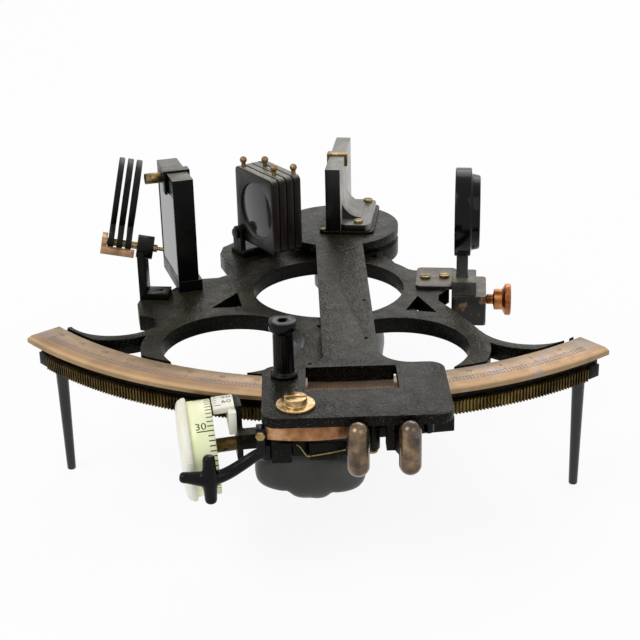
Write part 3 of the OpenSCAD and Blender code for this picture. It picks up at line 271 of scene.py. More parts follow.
def melt(name, parts, place, voxel, rounds):
    """One skin over several closed forms, rounded where they meet."""
    ob = bpy.data.objects.new("tmp", mesh_from(name, *put(place, together(parts))))
    bpy.context.scene.collection.objects.link(ob)
    skin = ob.modifiers.new("skin", "REMESH")
    skin.mode = "VOXEL"
    skin.voxel_size = voxel * MM
    soft = ob.modifiers.new("soft", "CORRECTIVE_SMOOTH")
    soft.iterations = rounds
    soft.factor = 0.5
    soft.use_only_smooth = True
    out = bake_modifiers(ob)
    bpy.data.objects.remove(ob)
    out.name = name
    out.shade_smooth()
    return out


def digits(text, size, bend):
    """Flat mesh of a number, size millimetres high; bend gives each point's place from its x and y."""
    curve = bpy.data.curves.new("number", "FONT")
    curve.body = text
    curve.size = size
    curve.align_x = "CENTER"
    curve.align_y = "CENTER"
    curve.resolution_u = 3
    ob = bpy.data.objects.new("number", curve)
    bpy.context.scene.collection.objects.link(ob)
    deps = bpy.context.evaluated_depsgraph_get()
    me = bpy.data.meshes.new_from_object(ob.evaluated_get(deps))
    verts = [bend(v.co.x, v.co.y) for v in me.vertices]
    faces = [list(p.vertices) for p in me.polygons]
    bpy.data.objects.remove(ob)
    bpy.data.curves.remove(curve)
    bpy.data.meshes.remove(me)
    return verts, faces


# Materials. A colour is a web colour, or a grey or three numbers of linear light
def linear(colour):
    if isinstance(colour, float):
        return (colour, colour, colour)
    if not isinstance(colour, str):
        return colour
    parts = [int(colour[i:i + 2], 16) / 255 for i in (0, 2, 4)]
    return tuple(c / 12.92 if c <= 0.04045 else ((c + 0.055) / 1.055) ** 2.4 for c in parts)


def ramp(nodes, links, fac, stops):
    node = nodes.new("ShaderNodeValToRGB")
    el = node.color_ramp.elements
    while len(el) > 1:
        el.remove(el[-1])
    for i, (at, colour) in enumerate(stops):
        e = el[0] if i == 0 else el.new(at)
        e.position = at
        e.color = (*linear(colour), 1)
    links.new(fac, node.inputs["Fac"])
    return node.outputs["Color"]


def noise(nodes, links, coord, scale, detail=4, rough=0.55, kind="noise"):
    if kind == "noise":
        node = nodes.new("ShaderNodeTexNoise")
        node.inputs["Detail"].default_value = detail
        node.inputs["Roughness"].default_value = rough
    else:
        node = nodes.new("ShaderNodeTexVoronoi")
        node.feature = "SMOOTH_F1"
        node.inputs["Smoothness"].default_value = 0.6
    node.inputs["Scale"].default_value = scale
    links.new(coord, node.inputs["Vector"])
    return node.outputs["Fac"] if kind == "noise" else node.outputs["Distance"]


def mixed(nodes, links, fac, a, b):
    """Colour b laid over a by fac. Each is a socket or plain."""
    mix = nodes.new("ShaderNodeMix")
    mix.data_type = "RGBA"
    if hasattr(fac, "is_linked"):
        links.new(fac, mix.inputs["Factor"])
    else:
        mix.inputs["Factor"].default_value = fac
    for key, c in (("A", a), ("B", b)):
        if hasattr(c, "is_linked"):
            links.new(c, mix.inputs[key])
        else:
            mix.inputs[key].default_value = (*linear(c), 1)
    return mix.outputs["Result"]


def mapped(nodes, links, value, low, high):
    """A value spread from low to high over 0 to 1."""
    part = nodes.new("ShaderNodeMapRange")
    part.inputs["From Min"].default_value = low
    part.inputs["From Max"].default_value = high
    links.new(value, part.inputs["Value"])
    return part.outputs["Result"]


def facing(nodes, links, direction, low, high):
    """How far a face turns towards a direction of its own body, from 0 to 1."""
    dot = nodes.new("ShaderNodeVectorMath")
    dot.operation = "DOT_PRODUCT"
    dot.inputs[1].default_value = direction
    links.new(nodes.new("ShaderNodeTexCoord").outputs["Normal"], dot.inputs[0])
    return mapped(nodes, links, dot.outputs["Value"], low, high)


def pivot_distance(nodes, links, coord):
    """How far a point is from the pivot's axis, in metres."""
    flat = nodes.new("ShaderNodeVectorMath")
    flat.operation = "MULTIPLY"
    flat.inputs[1].default_value = (1, 1, 0)
    links.new(coord, flat.inputs[0])
    away = nodes.new("ShaderNodeVectorMath")
    away.operation = "LENGTH"
    links.new(flat.outputs["Vector"], away.inputs[0])
    return away.outputs["Value"]


def banded(nodes, links, coord, colour, share, tone_and_sheen_rings):
    """Rings of tone and painted sheen round the pivot, laid over a colour by share; a list of (radius,
    colour).
    """
    inner, outer = tone_and_sheen_rings[0][0], tone_and_sheen_rings[-1][0]
    along = mapped(nodes, links, pivot_distance(nodes, links, coord), inner * MM, outer * MM)
    rings = ramp(nodes, links, along, [((r - inner) / (outer - inner), c) for r, c in tone_and_sheen_rings])
    return mixed(nodes, links, share, colour, rings)


def spotted(nodes, links, coord, colour, spots, detail, rough):
    """Spots on a colour, given as (colour, scale, low, high)."""
    spot, scale, low, high = spots
    mask = ramp(nodes, links, noise(nodes, links, coord, scale, detail, rough), [(low, 0.0), (high, 1.0)])
    return mixed(nodes, links, mask, colour, spot)


def bumped(nodes, links, coord, bumps):
    """A normal from bumps given as (scale per metre, height in mm, kind)."""
    normal = None
    for scale, height, kind in bumps:
        bump = nodes.new("ShaderNodeBump")
        bump.inputs["Distance"].default_value = height * MM
        bump.inputs["Strength"].default_value = 1.0
        links.new(noise(nodes, links, coord, scale, 3, 0.5, kind), bump.inputs["Height"])
        if normal:
            links.new(normal, bump.inputs["Normal"])
        normal = bump.outputs["Normal"]
    return normal


def finish_of(name, tones, patch=60, rough=(0.4, 0.6), metal=0.0, bumps=(), spec=0.5, tint=(1, 1, 1),
              fleck=None, painted_glints=None, coat=0.0, sub=0.0, light_and_shade_faces=(), tone_and_sheen_rings=None, wall=None):
    """A finish with mottled colour in three tones, varied gloss and bumps.

    The facing list gives (direction, low, high, dark, light): painted light and shade on faces turned that
    way.
    The rings are a share and a list of (radius, colour) round the pivot: tone, with painted sheen and
    highlight at some radii. The wall colour is painted shade on faces that don't look up. The flecks and the
    glints are what spotted() takes as spots; the glints are painted highlights, small bright points."""
    mat = bpy.data.materials.new(name)
    mat.use_nodes = True
    nodes, links = mat.node_tree.nodes, mat.node_tree.links
    coord = nodes.new("ShaderNodeTexCoord").outputs["Object"]
    mottle = noise(nodes, links, coord, patch, 6, 0.6)
    colour = ramp(nodes, links, mottle, list(zip((0.34, 0.5, 0.66), tones)))
    # Painted light and shade: faces turned towards each given direction take that entry's tones
    for direction, low, high, dark, light in light_and_shade_faces:
        mottle = noise(nodes, links, coord, patch * 1.7, 5, 0.65)
        worn_and_lit = ramp(nodes, links, mottle, [(0.36, dark), (0.64, light)])
        colour = mixed(nodes, links, facing(nodes, links, direction, low, high), colour, worn_and_lit)
    # Rings round the pivot: tone, with painted sheen and highlight at some radii
    if tone_and_sheen_rings:
        colour = banded(nodes, links, coord, colour, *tone_and_sheen_rings)
    # Painted shade: faces that don't look up take the wall colour
    if wall:
        colour = mixed(nodes, links, facing(nodes, links, UP, 0.45, 0.9), wall, colour)
    if fleck:
        colour = spotted(nodes, links, coord, colour, fleck, 3, 0.5)
    # Painted glints: small bright points laid into the colour
    if painted_glints:
        colour = spotted(nodes, links, coord, colour, painted_glints, 1, 0.4)
    gloss = ramp(nodes, links, noise(nodes, links, coord, patch * 3), [(0.3, rough[0]), (0.7, rough[1])])
    shader = nodes["Principled BSDF"]
    links.new(colour, shader.inputs["Base Color"])
    links.new(gloss, shader.inputs["Roughness"])
    shader.inputs["Metallic"].default_value = metal
    shader.inputs["Specular IOR Level"].default_value = spec
    shader.inputs["Specular Tint"].default_value = (*tint, 1)
    shader.inputs["Coat Weight"].default_value = coat
    if sub:
        shader.inputs["Subsurface Weight"].default_value = sub
        shader.inputs["Subsurface Radius"].default_value = (0.002, 0.0015, 0.001)
    normal = bumped(nodes, links, coord, bumps)
    if normal:
        links.new(normal, shader.inputs["Normal"])
    return mat


def glass_of(name, text, see=0.6, rough=0.03):
    """Dyed glass: a tint that varies a little, with a polished face."""
    colour = linear(text)
    tones = (tuple(c * 0.85 for c in colour), colour, tuple(min(1, c * 1.2) for c in colour))
    mat = finish_of(name, tones, 40, (rough, rough + 0.05), bumps=((90, 0.02, "noise"),))
    shader = mat.node_tree.nodes["Principled BSDF"]
    shader.inputs["Transmission Weight"].default_value = see
    shader.inputs["IOR"].default_value = 1.5
    return mat


def fine(scale, height):
    return ((scale, height, "noise"),)


WARM = (1.0, 0.97, 0.88)
M = {
    # Black crinkle paint, with painted shade on faces that don't look up and painted glints
    "casting": finish_of("black_crinkle", ("15140d", "232116", "343124"), 60, (0.24, 0.46),
                         bumps=((420, 0.3, "noise"), (1100, 0.14, "voronoi"), (3000, 0.04, "noise")),
                         spec=0.1, tint=WARM, wall="060604", painted_glints=("5b5844", 2600, 0.72, 0.75)),
    # Arm paint: rings round the pivot paint a reflection of the background on the blade, lighter out to
    # about 146 mm and darker on the end plate; painted shade on faces that don't look up; painted glints
    "arm": finish_of("arm_crinkle", ("191710", "25221a", "353126"), 55, (0.22, 0.44), spec=0.1, tint=WARM,
                     bumps=((360, 0.34, "noise"), (900, 0.2, "voronoi"), (2600, 0.06, "noise")),
                     tone_and_sheen_rings=(0.6, [(0, "1c1a12"), (120, "2c291f"), (146, "282419"), (158, "161410"),
                                  (205, "12110e")]),
                     wall="080706", painted_glints=("6f6a55", 2400, 0.7, 0.73)),
    # Worn bracket paint: the flecks are worn patches; painted shade on faces that don't look up
    "bracket": finish_of("worn_bracket", ("322e26", "4b4336", "655542"), 90, (0.26, 0.46), 0.2,
                         fine(600, 0.12), 0.3, wall="1d1d1a", fleck=("7f5c3e", 230, 0.58, 0.74)),
    # Foot paint: painted light on its tops and on faces turned towards -Y
    "foot": finish_of("foot_paint", ("070706", "0e0e0c", "181712"), 70, (0.24, 0.44), 0, fine(700, 0.05),
                      0.2, light_and_shade_faces=[(UP, 0.4, 0.9, "45443a", "6a6756"),
                                 ((0, -1, 0), 0.6, 0.98, "1f201e", "3f403c")]),
    # Black satin: painted light on its tops
    "satin": finish_of("black_satin", ("050505", "0a0a09", "121110"), 70, (0.22, 0.4), 0,
                       ((900, 0.03, "noise"), (2600, 0.01, "noise")), 0.1,
                       light_and_shade_faces=[(UP, 0.6, 0.98, "22211d", "3a3832")]),
    "gloss": finish_of("black_gloss", ("040404", "080707", "100e0f"), 60, (0.08, 0.2), 0,
                       ((300, 0.06, "noise"), (1200, 0.015, "noise")), 0.14),
    # Shade plates: painted light on their tops, and darker, browner tones on faces turned towards (0.64,
    # -0.77, 0)
    "plate": finish_of("shade_plate", ("131312", "1c1c1b", "262624"), 50, (0.3, 0.45), 0, fine(900, 0.02),
                       0.2, light_and_shade_faces=[(UP, 0.5, 0.95, "6d6a60", "8a867a"),
                                  ((0.64, -0.77, 0), 0.75, 0.98, "090807", "1d110d")]),
    # Black cap finish, with painted light making its tops grey
    "cap": finish_of("black_cap_lit_top", ("040404", "090908", "121110"), 60, (0.22, 0.4), 0, fine(700, 0.04), 0.08,
                     light_and_shade_faces=[(UP, 0.4, 0.9, "605e56", "7d7a70")]),
    # Black frame finish, with painted light on its tops and on faces turned towards +X
    "pale": finish_of("black_frame_lit_faces", ("060606", "0b0b0a", "151412"), 80, (0.26, 0.44), 0, fine(500, 0.05),
                      0.3, light_and_shade_faces=[(UP, 0.3, 0.85, "6b6860", "86827a"),
                                 ((1, 0, 0), 0.3, 0.85, "8e8a81", "bbb7af")]),
    "dull": finish_of("dull_brass", ("5b4c30", "84714a", "ad9868"), 200, (0.26, 0.44), 0.85,
                      fine(1200, 0.02), fleck=("7b4a2c", 420, 0.58, 0.66)),
    "leg": finish_of("blue_black", ("090b0b", "101314", "191d20"), 80, (0.2, 0.36), 0, fine(700, 0.03),
                     0.45),
    # Worn bronze: the flecks are grey-mauve stains; rings across the strip give its tone, with a painted
    # highlight along the outer bevel at 170.2 mm and a darker band at its outer edge
    "bronze": finish_of("worn_bronze", ("7a6750", "9b7d5c", "b5926c"), 70, (0.34, 0.5), 0.65,
                        ((500, 0.015, "noise"), (2400, 0.006, "noise")), fleck=("8c8282", 80, 0.58, 0.72),
                        tone_and_sheen_rings=(0.5, [(157, "8a765a"), (160, "a08a70"), (163, "9b887e"), (166, "a08873"),
                                     (168.6, "a87f56"), (170.2, "e2bf93"), (171.2, "75623f")])),
    "copper": finish_of("copper", ("7d4a2c", "a76a3e", "c98f5c"), 160, (0.24, 0.46), 0.95,
                        ((600, 0.06, "noise"), (2000, 0.02, "noise"))),
    # Leaf copper: the pale specks are painted glints
    "leaf": finish_of("leaf_copper", ("6a4831", "976c48", "bd9670"), 110, (0.22, 0.42), 0.9,
                      ((500, 0.12, "noise"), (1500, 0.05, "noise")), fleck=("f3dcae", 420, 0.72, 0.76)),
    "brass": finish_of("brass", ("8c6c36", "bd9350", "dcb777"), 160, (0.2, 0.4), 0.95, fine(1200, 0.01),
                       fleck=("7a4f2c", 330, 0.60, 0.68)),
    # Pale brass, with painted shade darkening its upturned top
    "gilt": finish_of("pale_brass", ("927a50", "bda476", "e8dab4"), 220, (0.16, 0.3), 0.9, fine(900, 0.03),
                      light_and_shade_faces=[(UP, 0.7, 0.99, "8f6a44", "cfae7c")]),
    "stop": finish_of("tan_brass", ("8a6a4c", "b08a66", "cfa982"), 180, (0.3, 0.48), 0.6, fine(900, 0.02)),
    "rack": finish_of("rack_brass", ("352a14", "574722", "7a683c"), 90, (0.35, 0.55), 0.85,
                      fine(1500, 0.02), fleck=("17120a", 500, 0.60, 0.68)),
    "ivory": finish_of("ivory", ("eeecd8", "f5f3e4", "f9f7ec"), 60, (0.28, 0.42), 0, fine(800, 0.01),
                       sub=0.12),
    "barrel": finish_of("barrel_ivory", ("f0f6c2", "f6f9cd", "f9fad6"), 70, (0.28, 0.42), 0, fine(800, 0.01),
                        sub=0.12),
    "grip": finish_of("moulded_grip", ("2c2d2b", "3a3b38", "4a4b47"), 35, (0.34, 0.5), 0, fine(900, 0.02),
                      0.42),
    # Worn brass grips: the grey flecks are partly wear and partly a painted highlight
    "worn_and_lit": finish_of("worn_brass", ("2a2018", "5a4631", "8d7453"), 130, (0.14, 0.3), 0.6, fine(500, 0.06),
                      fleck=("77706e", 90, 0.6, 0.72), coat=0.4),
    "ink": finish_of("ink", ("15130f", "221e17", "2e2920"), 400, (0.5, 0.7), 0, fine(1500, 0.005), 0.2),
    "scribe": finish_of("scribed", ("4a3a2a", "5f4c38", "74604a"), 300, (0.5, 0.7), 0.3, fine(1500, 0.005)),
    "mirror": finish_of("mirror", ("282b2a", "303433", "3a3e3d"), 60, (0.02, 0.06), 1.0, fine(60, 0.002)),
    "red": glass_of("red_glass", "7a3a28"),
    "green": glass_of("green_glass", "5c6a56"),
    "dark": glass_of("dark_glass", "3a3a40"),
    "grey": glass_of("grey_glass", "2d2e2d", 0.05, 0.12),
}


# Pieces that keep their solid's form, with edges rounded
def dress(node, mat, width, segments):
    src = NODES[node]
    me = bpy.data.meshes.new(node + "_skin")
    bm = bmesh.new()
    bm.from_mesh(src.data)
    for layer in list(bm.loops.layers.uv):
        bm.loops.layers.uv.remove(layer)
    bmesh.ops.remove_doubles(bm, verts=bm.verts, dist=2e-6)
    bmesh.ops.dissolve_limit(bm, angle_limit=math.radians(0.6), verts=bm.verts, edges=bm.edges)
    bm.to_mesh(me)
    bm.free()
    if "custom_normal" in me.attributes:
        me.attributes.remove(me.attributes["custom_normal"])
    me = bevel_mesh(me, width, segments)
    me.name = node + "_skin"
    finish_mesh(me, 35)
    new_object(node + "_skin", me, M[mat], src["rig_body"], (node,))


def keep(node, mat):
    """A solid that stays as it is, with its finish."""
    ob = NODES[node]
    ob.data.materials.clear()
    ob.data.materials.append(M[mat])


# Node, finish, width of the rounded edges and their segments
FORMS = [
    ("frame", "casting", 0.9, 3), ("scale_strip", "bronze", 0.2, 2), ("rack_stops", "casting", 0.3, 2),
    ("rack_screws", "brass", 0.15, 1), ("front_legs", "leg", 0.2, 2), ("rear_leg", "leg", 0.4, 2),
    ("pivot_bush", "brass", 0.2, 2), ("handle_posts", "satin", 0.3, 2),
    ("horizon_base", "cap", 0.4, 2), ("horizon_frame", "cap", 0.4, 2), ("horizon_clips", "cap", 0.2, 2),
    ("horizon_screws", "dull", 0.2, 2), ("shade_post", "satin", 0.4, 2), ("shade_pin", "dull", 0.2, 2),
    ("shade_stop", "stop", 0.4, 2), *[("horizon_shade_%d" % n, "satin", 0.35, 2) for n in (1, 2, 3)],
    ("index_shade_bracket", "satin", 0.35, 2), ("index_shade_pin", "satin", 0.2, 2),
    *[("index_shade_%d" % n, "plate", 0.35, 2) for n in (1, 2, 3, 4)],
    ("scope_bracket", "bracket", 0.5, 2), ("scope_screws", "dull", 0.2, 2), ("scope_foot", "foot", 0.5, 2),
    ("scope_ring", "gloss", 0.6, 3), ("scope_knob", "copper", 0.3, 2),
    ("index_arm", "arm", 0.8, 3), ("spindle", "brass", 0.2, 2), ("spindle_nut", "brass", 0.2, 2),
    ("index_base", "casting", 0.25, 2), ("index_frame", "pale", 0.4, 2), ("index_clips", "dull", 0.2, 2),
    ("index_screws", "dull", 0.2, 2), ("socket_post", "gloss", 0.35, 2), ("pivot_screw", "gilt", 0.35, 3),
    ("leaf_spring", "leaf", 0.15, 2), ("lever_pin", "brass", 0.2, 2), ("worm_cradle", "casting", 0.4, 2),
    ("worm_shaft", "rack", 0.2, 2),
]
KEPT = (("rack", "rack"), ("worm", "rack"), ("horizon_glass", "mirror"), ("index_glass", "mirror"))
FILTERS = (
    ("horizon_filter_", ("red", "green", "dark")),
    ("index_filter_", ("grey", "green", "red", "dark")),
)

for node, mat, width, segments in FORMS:
    dress(node, mat, width, segments)
for node, mat in KEPT:
    keep(node, mat)
for family, glasses in FILTERS:
    for number, glass in enumerate(glasses, 1):
        dress(family + str(number), glass, 0.25, 2)


# Scale on the strip: a line to half a degree of arc, and a number at each tenth line
def strip_scale():
    low, top = DECK_Z - 0.2, DECK_Z + 0.03
    line_in, line_out, line_w = STRIP_R - 7.6, STRIP_R - 5.4, 0.2
    number_r, number_h = STRIP_R - 11.7, 2.6
    first, step, count, first_number = -41.5, 0.5, 167, 145
    edge_w, half_arc = 0.12, 42
    lines, numbers = [], []
    for i in range(count):
        place = turn("Z", first + i * step)
        longer = 1.9 if i % 10 == 0 else 1.0 if i % 5 == 0 else 0
        lines.append(put(place, box(-line_w / 2, line_w / 2, -line_out, -line_in + longer, low, top)))
        if i % 10 == 0:
            number = digits(str(abs(first_number - i)), number_h, lambda x, y: (x, y, 0))
            numbers.append(put(place @ move(0, -number_r, top), number))
    for r in (line_in - 0.2, line_out + 0.1):
        lines.append(arc_line(r, edge_w, half_arc, low, top))
    for name, parts in (("scale_lines", lines), ("scale_numbers", numbers)):
        new_object(name, mesh_from(name, *together(parts)), M["scribe"], "base")


def arc_line(r, w, half, low, top):
    """A thin flat line of width w inside radius r, to half degrees each side of the middle."""
    angles = [math.radians(t / 2) for t in range(-2 * half, 2 * half + 1)]
    outer = [(r * math.sin(a), -r * math.cos(a)) for a in angles]
    inner = [(x * (r - w) / r, y * (r - w) / r) for x, y in outer]
    n = len(angles)
    verts = [(x, y, z) for z in (top, low) for x, y in outer + inner]
    return verts, [[i, i + 1, n + i + 1, n + i] for i in range(n - 1)]


strip_scale()


# Ball heads on the index shades' finger pins
def shade_balls():
    neck_r, ball_r, ball_z = 1.03, 1.64, 4.4
    arc = [math.radians(a) for a in range(-50, 91, 10)]
    profile = [(0, -0.1), (neck_r, -0.1), (neck_r, 2.8)]
    profile += [(ball_r * math.cos(a), ball_z + ball_r * math.sin(a)) for a in arc]
    for i, letter in enumerate("abcd"):
        u = 5 - SHADE_W / 2 + 3 * i if i % 2 == 0 else SHADE_W / 2 - 9 + 2 * i
        place = SHADES @ move(u, SHADE_PITCH * (i - 1.5), SHADE_TOP - 1)
        me = mesh_from("shade_ball", *put(place, lathe(profile, 32)), smooth=60)
        new_object("shade_ball_%d" % (i + 1), me, M["dull"], "index_shade_" + letter)


# Small fittings on the arm's end plate and on the cradle
def small_parts():
    lip = put(ARM, box(-17.6, 15.6, 0.4 - WINDOW_IN, 2.6 - WINDOW_IN, 0.35, 3.2))
    new_object("window_lip", mesh_from("window_lip", *lip, width=0.2), M["arm"], "arm")
    root = put(ARM, box(-36.9, -33.6, 3.1 - PLATE_OUT, 7.5 - PLATE_OUT, -9, 1.4))
    new_object("rest_root", mesh_from("rest_root", *root, width=0.4), M["gloss"], "cradle")
    nut = lathe([(0, 0), (1.9, 0), (1.9, 1.4), (1.3, 1.7), (0, 1.7)], 6)
    nut = put(ARM @ move(-35.3, 3.3 - PLATE_OUT, -1.2) @ turn("X", 90), nut)
    new_object("rest_nut", mesh_from("rest_nut", *nut, width=0.15), M["dull"], "cradle")
    bends = [(-22.4, -198.2, -5.6), (-21.2, -198.25, -6.4), (-18.9, -198.3, -9.9), (-17.6, -198.3, -10.3),
             (-11, -198.2, -9.4), (-4.6, -197.7, -8.4)]
    wire = put(ARM, sweep(smooth_path(bends, 5), 0.26, 10))
    new_object("catch_wire", mesh_from("catch_wire", *wire), M["dull"], "cradle")
    knob = lathe([(0, 0), (1.4, 0), (1.9, 0.5), (1.9, 4.9), (0, 4.9)], 32)
    knob = put(ARM @ move(25.4, 2.9 - PLATE_OUT, -1.7), knob)
    new_object("plate_knob", mesh_from("plate_knob", *knob), M["gloss"], "arm")


shade_balls()
small_parts()


# Micrometer drum: a ribbed rim with a crowned face, a hollow barrel, and its marks
def ribbed_rim(left, ribs):
    """The rim's wall, with a cut on two of every four points round it."""
    sides = ribs * 4
    rows = [(DRUM_R - 0.35, left + 2.7), (DRUM_R, left + 3.0), (DRUM_R, left + 4.25),
            (DRUM_R - 0.4, left + 4.6)]
    verts, faces = [], []
    for r, z in rows:
        for i in range(sides):
            a = 2 * math.pi * i / sides
            cut = 0.26 if i % 4 in (1, 2) and r == DRUM_R else 0.0
            verts.append(((r - cut) * math.cos(a), (r - cut) * math.sin(a), z))
    for k in range(len(rows) - 1):
        faces += wall_faces(k * sides, (k + 1) * sides, sides)
    return verts, faces


def on_cylinder(r):
    """Where a point along the worm's axis and round it, in degrees, lies at radius r."""
    def at(x, degrees):
        a = math.radians(degrees)
        return tuple(WORM @ Vector((x, r * math.cos(a), r * math.sin(a))))
    return at


def wrapped_number(text, size, at, x0, stretch, r, middle, drop=0.0):
    """A number laid round a cylinder, centred at x0 and at middle degrees."""
    return digits(text, size, lambda x, y: at(x0 + x * stretch, middle - math.degrees((y + drop) / r)))


def drum():
    ribs = 144
    left = -(DRUM_IN + BARREL_L + GRIP_L)
    place = WORM @ turn("Y", 90)
    crown = [(0, left), (7, left + 0.02), (12, left + 0.12), (15, left + 0.32), (17.2, left + 0.75),
             (18.3, left + 1.3), (18.95, left + 1.95), (19.15, left + 2.7)]
    back = [(19.1, left + 4.6), (18.4, left + 4.75), (17.9, left + 4.78)]
    shell = together([ribbed_rim(left, ribs), lathe(crown, ribs * 4), lathe(back, ribs * 4)])
    me = mesh_from("drum_flange", *put(place, shell), smooth=50)
    new_object("drum_flange", me, M["ivory"], "micrometer", ("drum",))
    inner_r, edge = 16.0, 0.3
    neck = [(17.9, left + 4.7), (BARREL_R, left + 4.82), (BARREL_R, -DRUM_IN - edge),
            (BARREL_R - edge, -DRUM_IN), (inner_r + edge, -DRUM_IN), (inner_r, -DRUM_IN - edge),
            (inner_r, left + 7.5), (2.75, left + 7.5)]
    me = mesh_from("drum_barrel", *put(place, lathe(neck, ribs)), smooth=50)
    new_object("drum_barrel", me, M["barrel"], "micrometer")
    drum_marks()


def drum_marks():
    zero_at, minutes, line_w, edge = -47.0, 60, 0.42, -DRUM_IN - 0.1
    long_line, short_line = 6.4, 2.3
    number_h, number_x, stretch, drop = 3.9, -DRUM_IN - 4.8, 1.12, 1.9
    at = on_cylinder(BARREL_R + 0.02)
    half = math.degrees(line_w / 2 / BARREL_R)
    marks = []
    for i in range(minutes):
        angle = zero_at + i * 360 / minutes
        end = edge - (long_line if i % 10 == 0 else short_line)
        corners = ((end, angle - half), (edge, angle - half), (edge, angle + half), (end, angle + half))
        marks.append(([at(x, a) for x, a in corners], [[0, 1, 2, 3]]))
        if i % 10 == 0:
            marks.append(wrapped_number(str(i), number_h, at, number_x, stretch, BARREL_R, angle, drop))
    me = mesh_from("drum_marks", *together(marks))
    new_object("drum_marks", me, M["ink"], "micrometer")


drum()


# Index block beside the drum, with its own lines and numbers
def index_block():
    r0, r1 = 15.6, BARREL_R + 0.4
    x0, x1 = 0.6 - DRUM_IN, 8.6 - DRUM_IN
    low, high, steps = 52, 105, 16
    angles = [math.radians(low + (high - low) * i / steps) for i in range(steps + 1)]
    outline = [(r1 * math.cos(a), r1 * math.sin(a)) for a in angles]
    outline += [(r0 * math.cos(a), r0 * math.sin(a)) for a in reversed(angles)]
    side = Matrix(((0, 0, 1, 0), (1, 0, 0, 0), (0, 1, 0, 0), (0, 0, 0, 1)))
    top = put(WORM @ side, prism(outline, x0, x1))
    leg = put(LEVEL_WORM, box(-69.3, -66.4, -8, 4, -7.5, 1.5))
    me = mesh_from("index_block", *together([top, leg]), width=0.35)
    new_object("index_block", me, M["ivory"], "cradle", ("drum_index",))

    r = r1 + 0.03
    at = on_cylinder(r)
    first, step, half_w, long_line, short_line = 99, 6, 0.5, 3.2, 1.7
    patches = []
    for i in range(7):
        angle = first - i * step
        patches.append((x0 + 0.25, x0 + (short_line if i else long_line), angle - half_w, angle + half_w))
    patches.append((x0 + 0.1, x0 + 0.32, 56, 103))
    marks = [([at(a, lo), at(b, lo), at(b, hi), at(a, hi)], [[0, 1, 2, 3]]) for a, b, lo, hi in patches]
    number_h, number_x, stretch, upper, apart = 3.3, x0 + 5.3, 1.15, 92.5, 13
    for k, text in enumerate(("60", "50")):
        marks.append(wrapped_number(text, number_h, at, number_x, stretch, r, upper - k * apart))
    me = mesh_from("index_block_marks", *together(marks))
    new_object("index_block_marks", me, M["ink"], "cradle")


index_block()


# Finger rest: three lobes and a curved arm in one skin
def finger_rest():
    centre = Vector((-54, -203, -16))
    root = (-32.5, -195.4)
    heading = (-0.9426, -0.3338)
    heights = ((0, -8.7), (5, -10.0), (10, -12.4), (15, -14.6), (19, -15.7), (22.8, -16))
    arm = smooth_path([(root[0] + heading[0] * t, root[1] + heading[1] * t, h) for t, h in heights])
    radii = [2.15 + 0.5 * i / len(arm) for i in range(len(arm))]
    parts = [sweep(arm, radii)]
    for reach, end_r in (((-10.4, 0, 1.2), 2.2), ((0, 0, 9.2), 2.4), ((0, 0, -9.3), 2.4)):
        path = [centre + Vector(reach) * t for t in (0, 0.25, 0.5, 0.75, 0.9, 1.0, 1.06)]
        widths = [3.1, 2.9, 2.6, end_r, end_r, end_r * 0.9, end_r * 0.55]
        parts.append(sweep(path, widths, up=(0, 1, 0)))
    parts.append(box(-35, -31.5, -197.6, -193.2, -12.4, -6))
    me = melt("rest_skin", parts, ARM, 0.4, 8)
    new_object("rest_skin", me, M["gloss"], "cradle", ("finger_rest",))


finger_rest()


# Pinch levers: thick round grips on short webs
def grip_bead(x):
    low, high, r, steps = -14.6, 6.6, 4.1, 40
    path, radii = [], []
    for i in range(steps + 1):
        t = i / steps
        end = min(t, 1 - t) * (high - low)
        path.append(Vector((x, BEAD_Y, low + (high - low) * t)))
        radii.append(r * math.sqrt(max(0.02, 1 - max(0, 1 - end / r) ** 2)))
    return put(ARM, sweep(path, radii, 28, (0, 1, 0)))


def web(hub_x, bead_x, top):
    """A short wall from the lever's hub into its bead."""
    low, thick, short_of_bead = -10.8, 2.7, 1.2
    hub, end = Vector((hub_x, LEVER_HUB_Y)), Vector((bead_x, BEAD_Y + short_of_bead))
    along = end - hub
    half = Vector((-along.y, along.x)).normalized() * thick / 2
    return prism([tuple(p) for p in (hub + half, end + half, end - half, hub - half)], low, top)


def lever(name, bead_x, parts, body, node):
    me = mesh_from(name + "_grip", *grip_bead(bead_x))
    new_object(name + "_grip", me, M["worn_and_lit"], body, (node,))
    me = mesh_from(name + "_web", *together([put(ARM, p) for p in parts]), width=0.35)
    new_object(name + "_web", me, M["casting"], body)


def levers():
    fixed_x, pinch_x = 18.2, -0.4
    block = box(10.4, 16.8, -195.2, -188.8, -10.9, 2.85)
    flange = box(13.6, 24.5, -195, -189, -1, 2.85)
    lever("fixed", fixed_x, [web(FIXED_HUB_X, fixed_x, 2.6), block, flange], "arm", "fixed_lever")
    hub = put(move(PINCH_HUB_X, LEVER_HUB_Y, 0), lathe([(0, -10.9), (3.2, -10.9), (3.2, 2.5), (0, 2.5)], 48))
    nose = box(-0.5, 5, -193.4, -190.6, -10.8, 2.4)
    lever("release", pinch_x, [web(PINCH_HUB_X, pinch_x, 2.5), hub, nose], "pinch_lever", "release_lever")


levers()


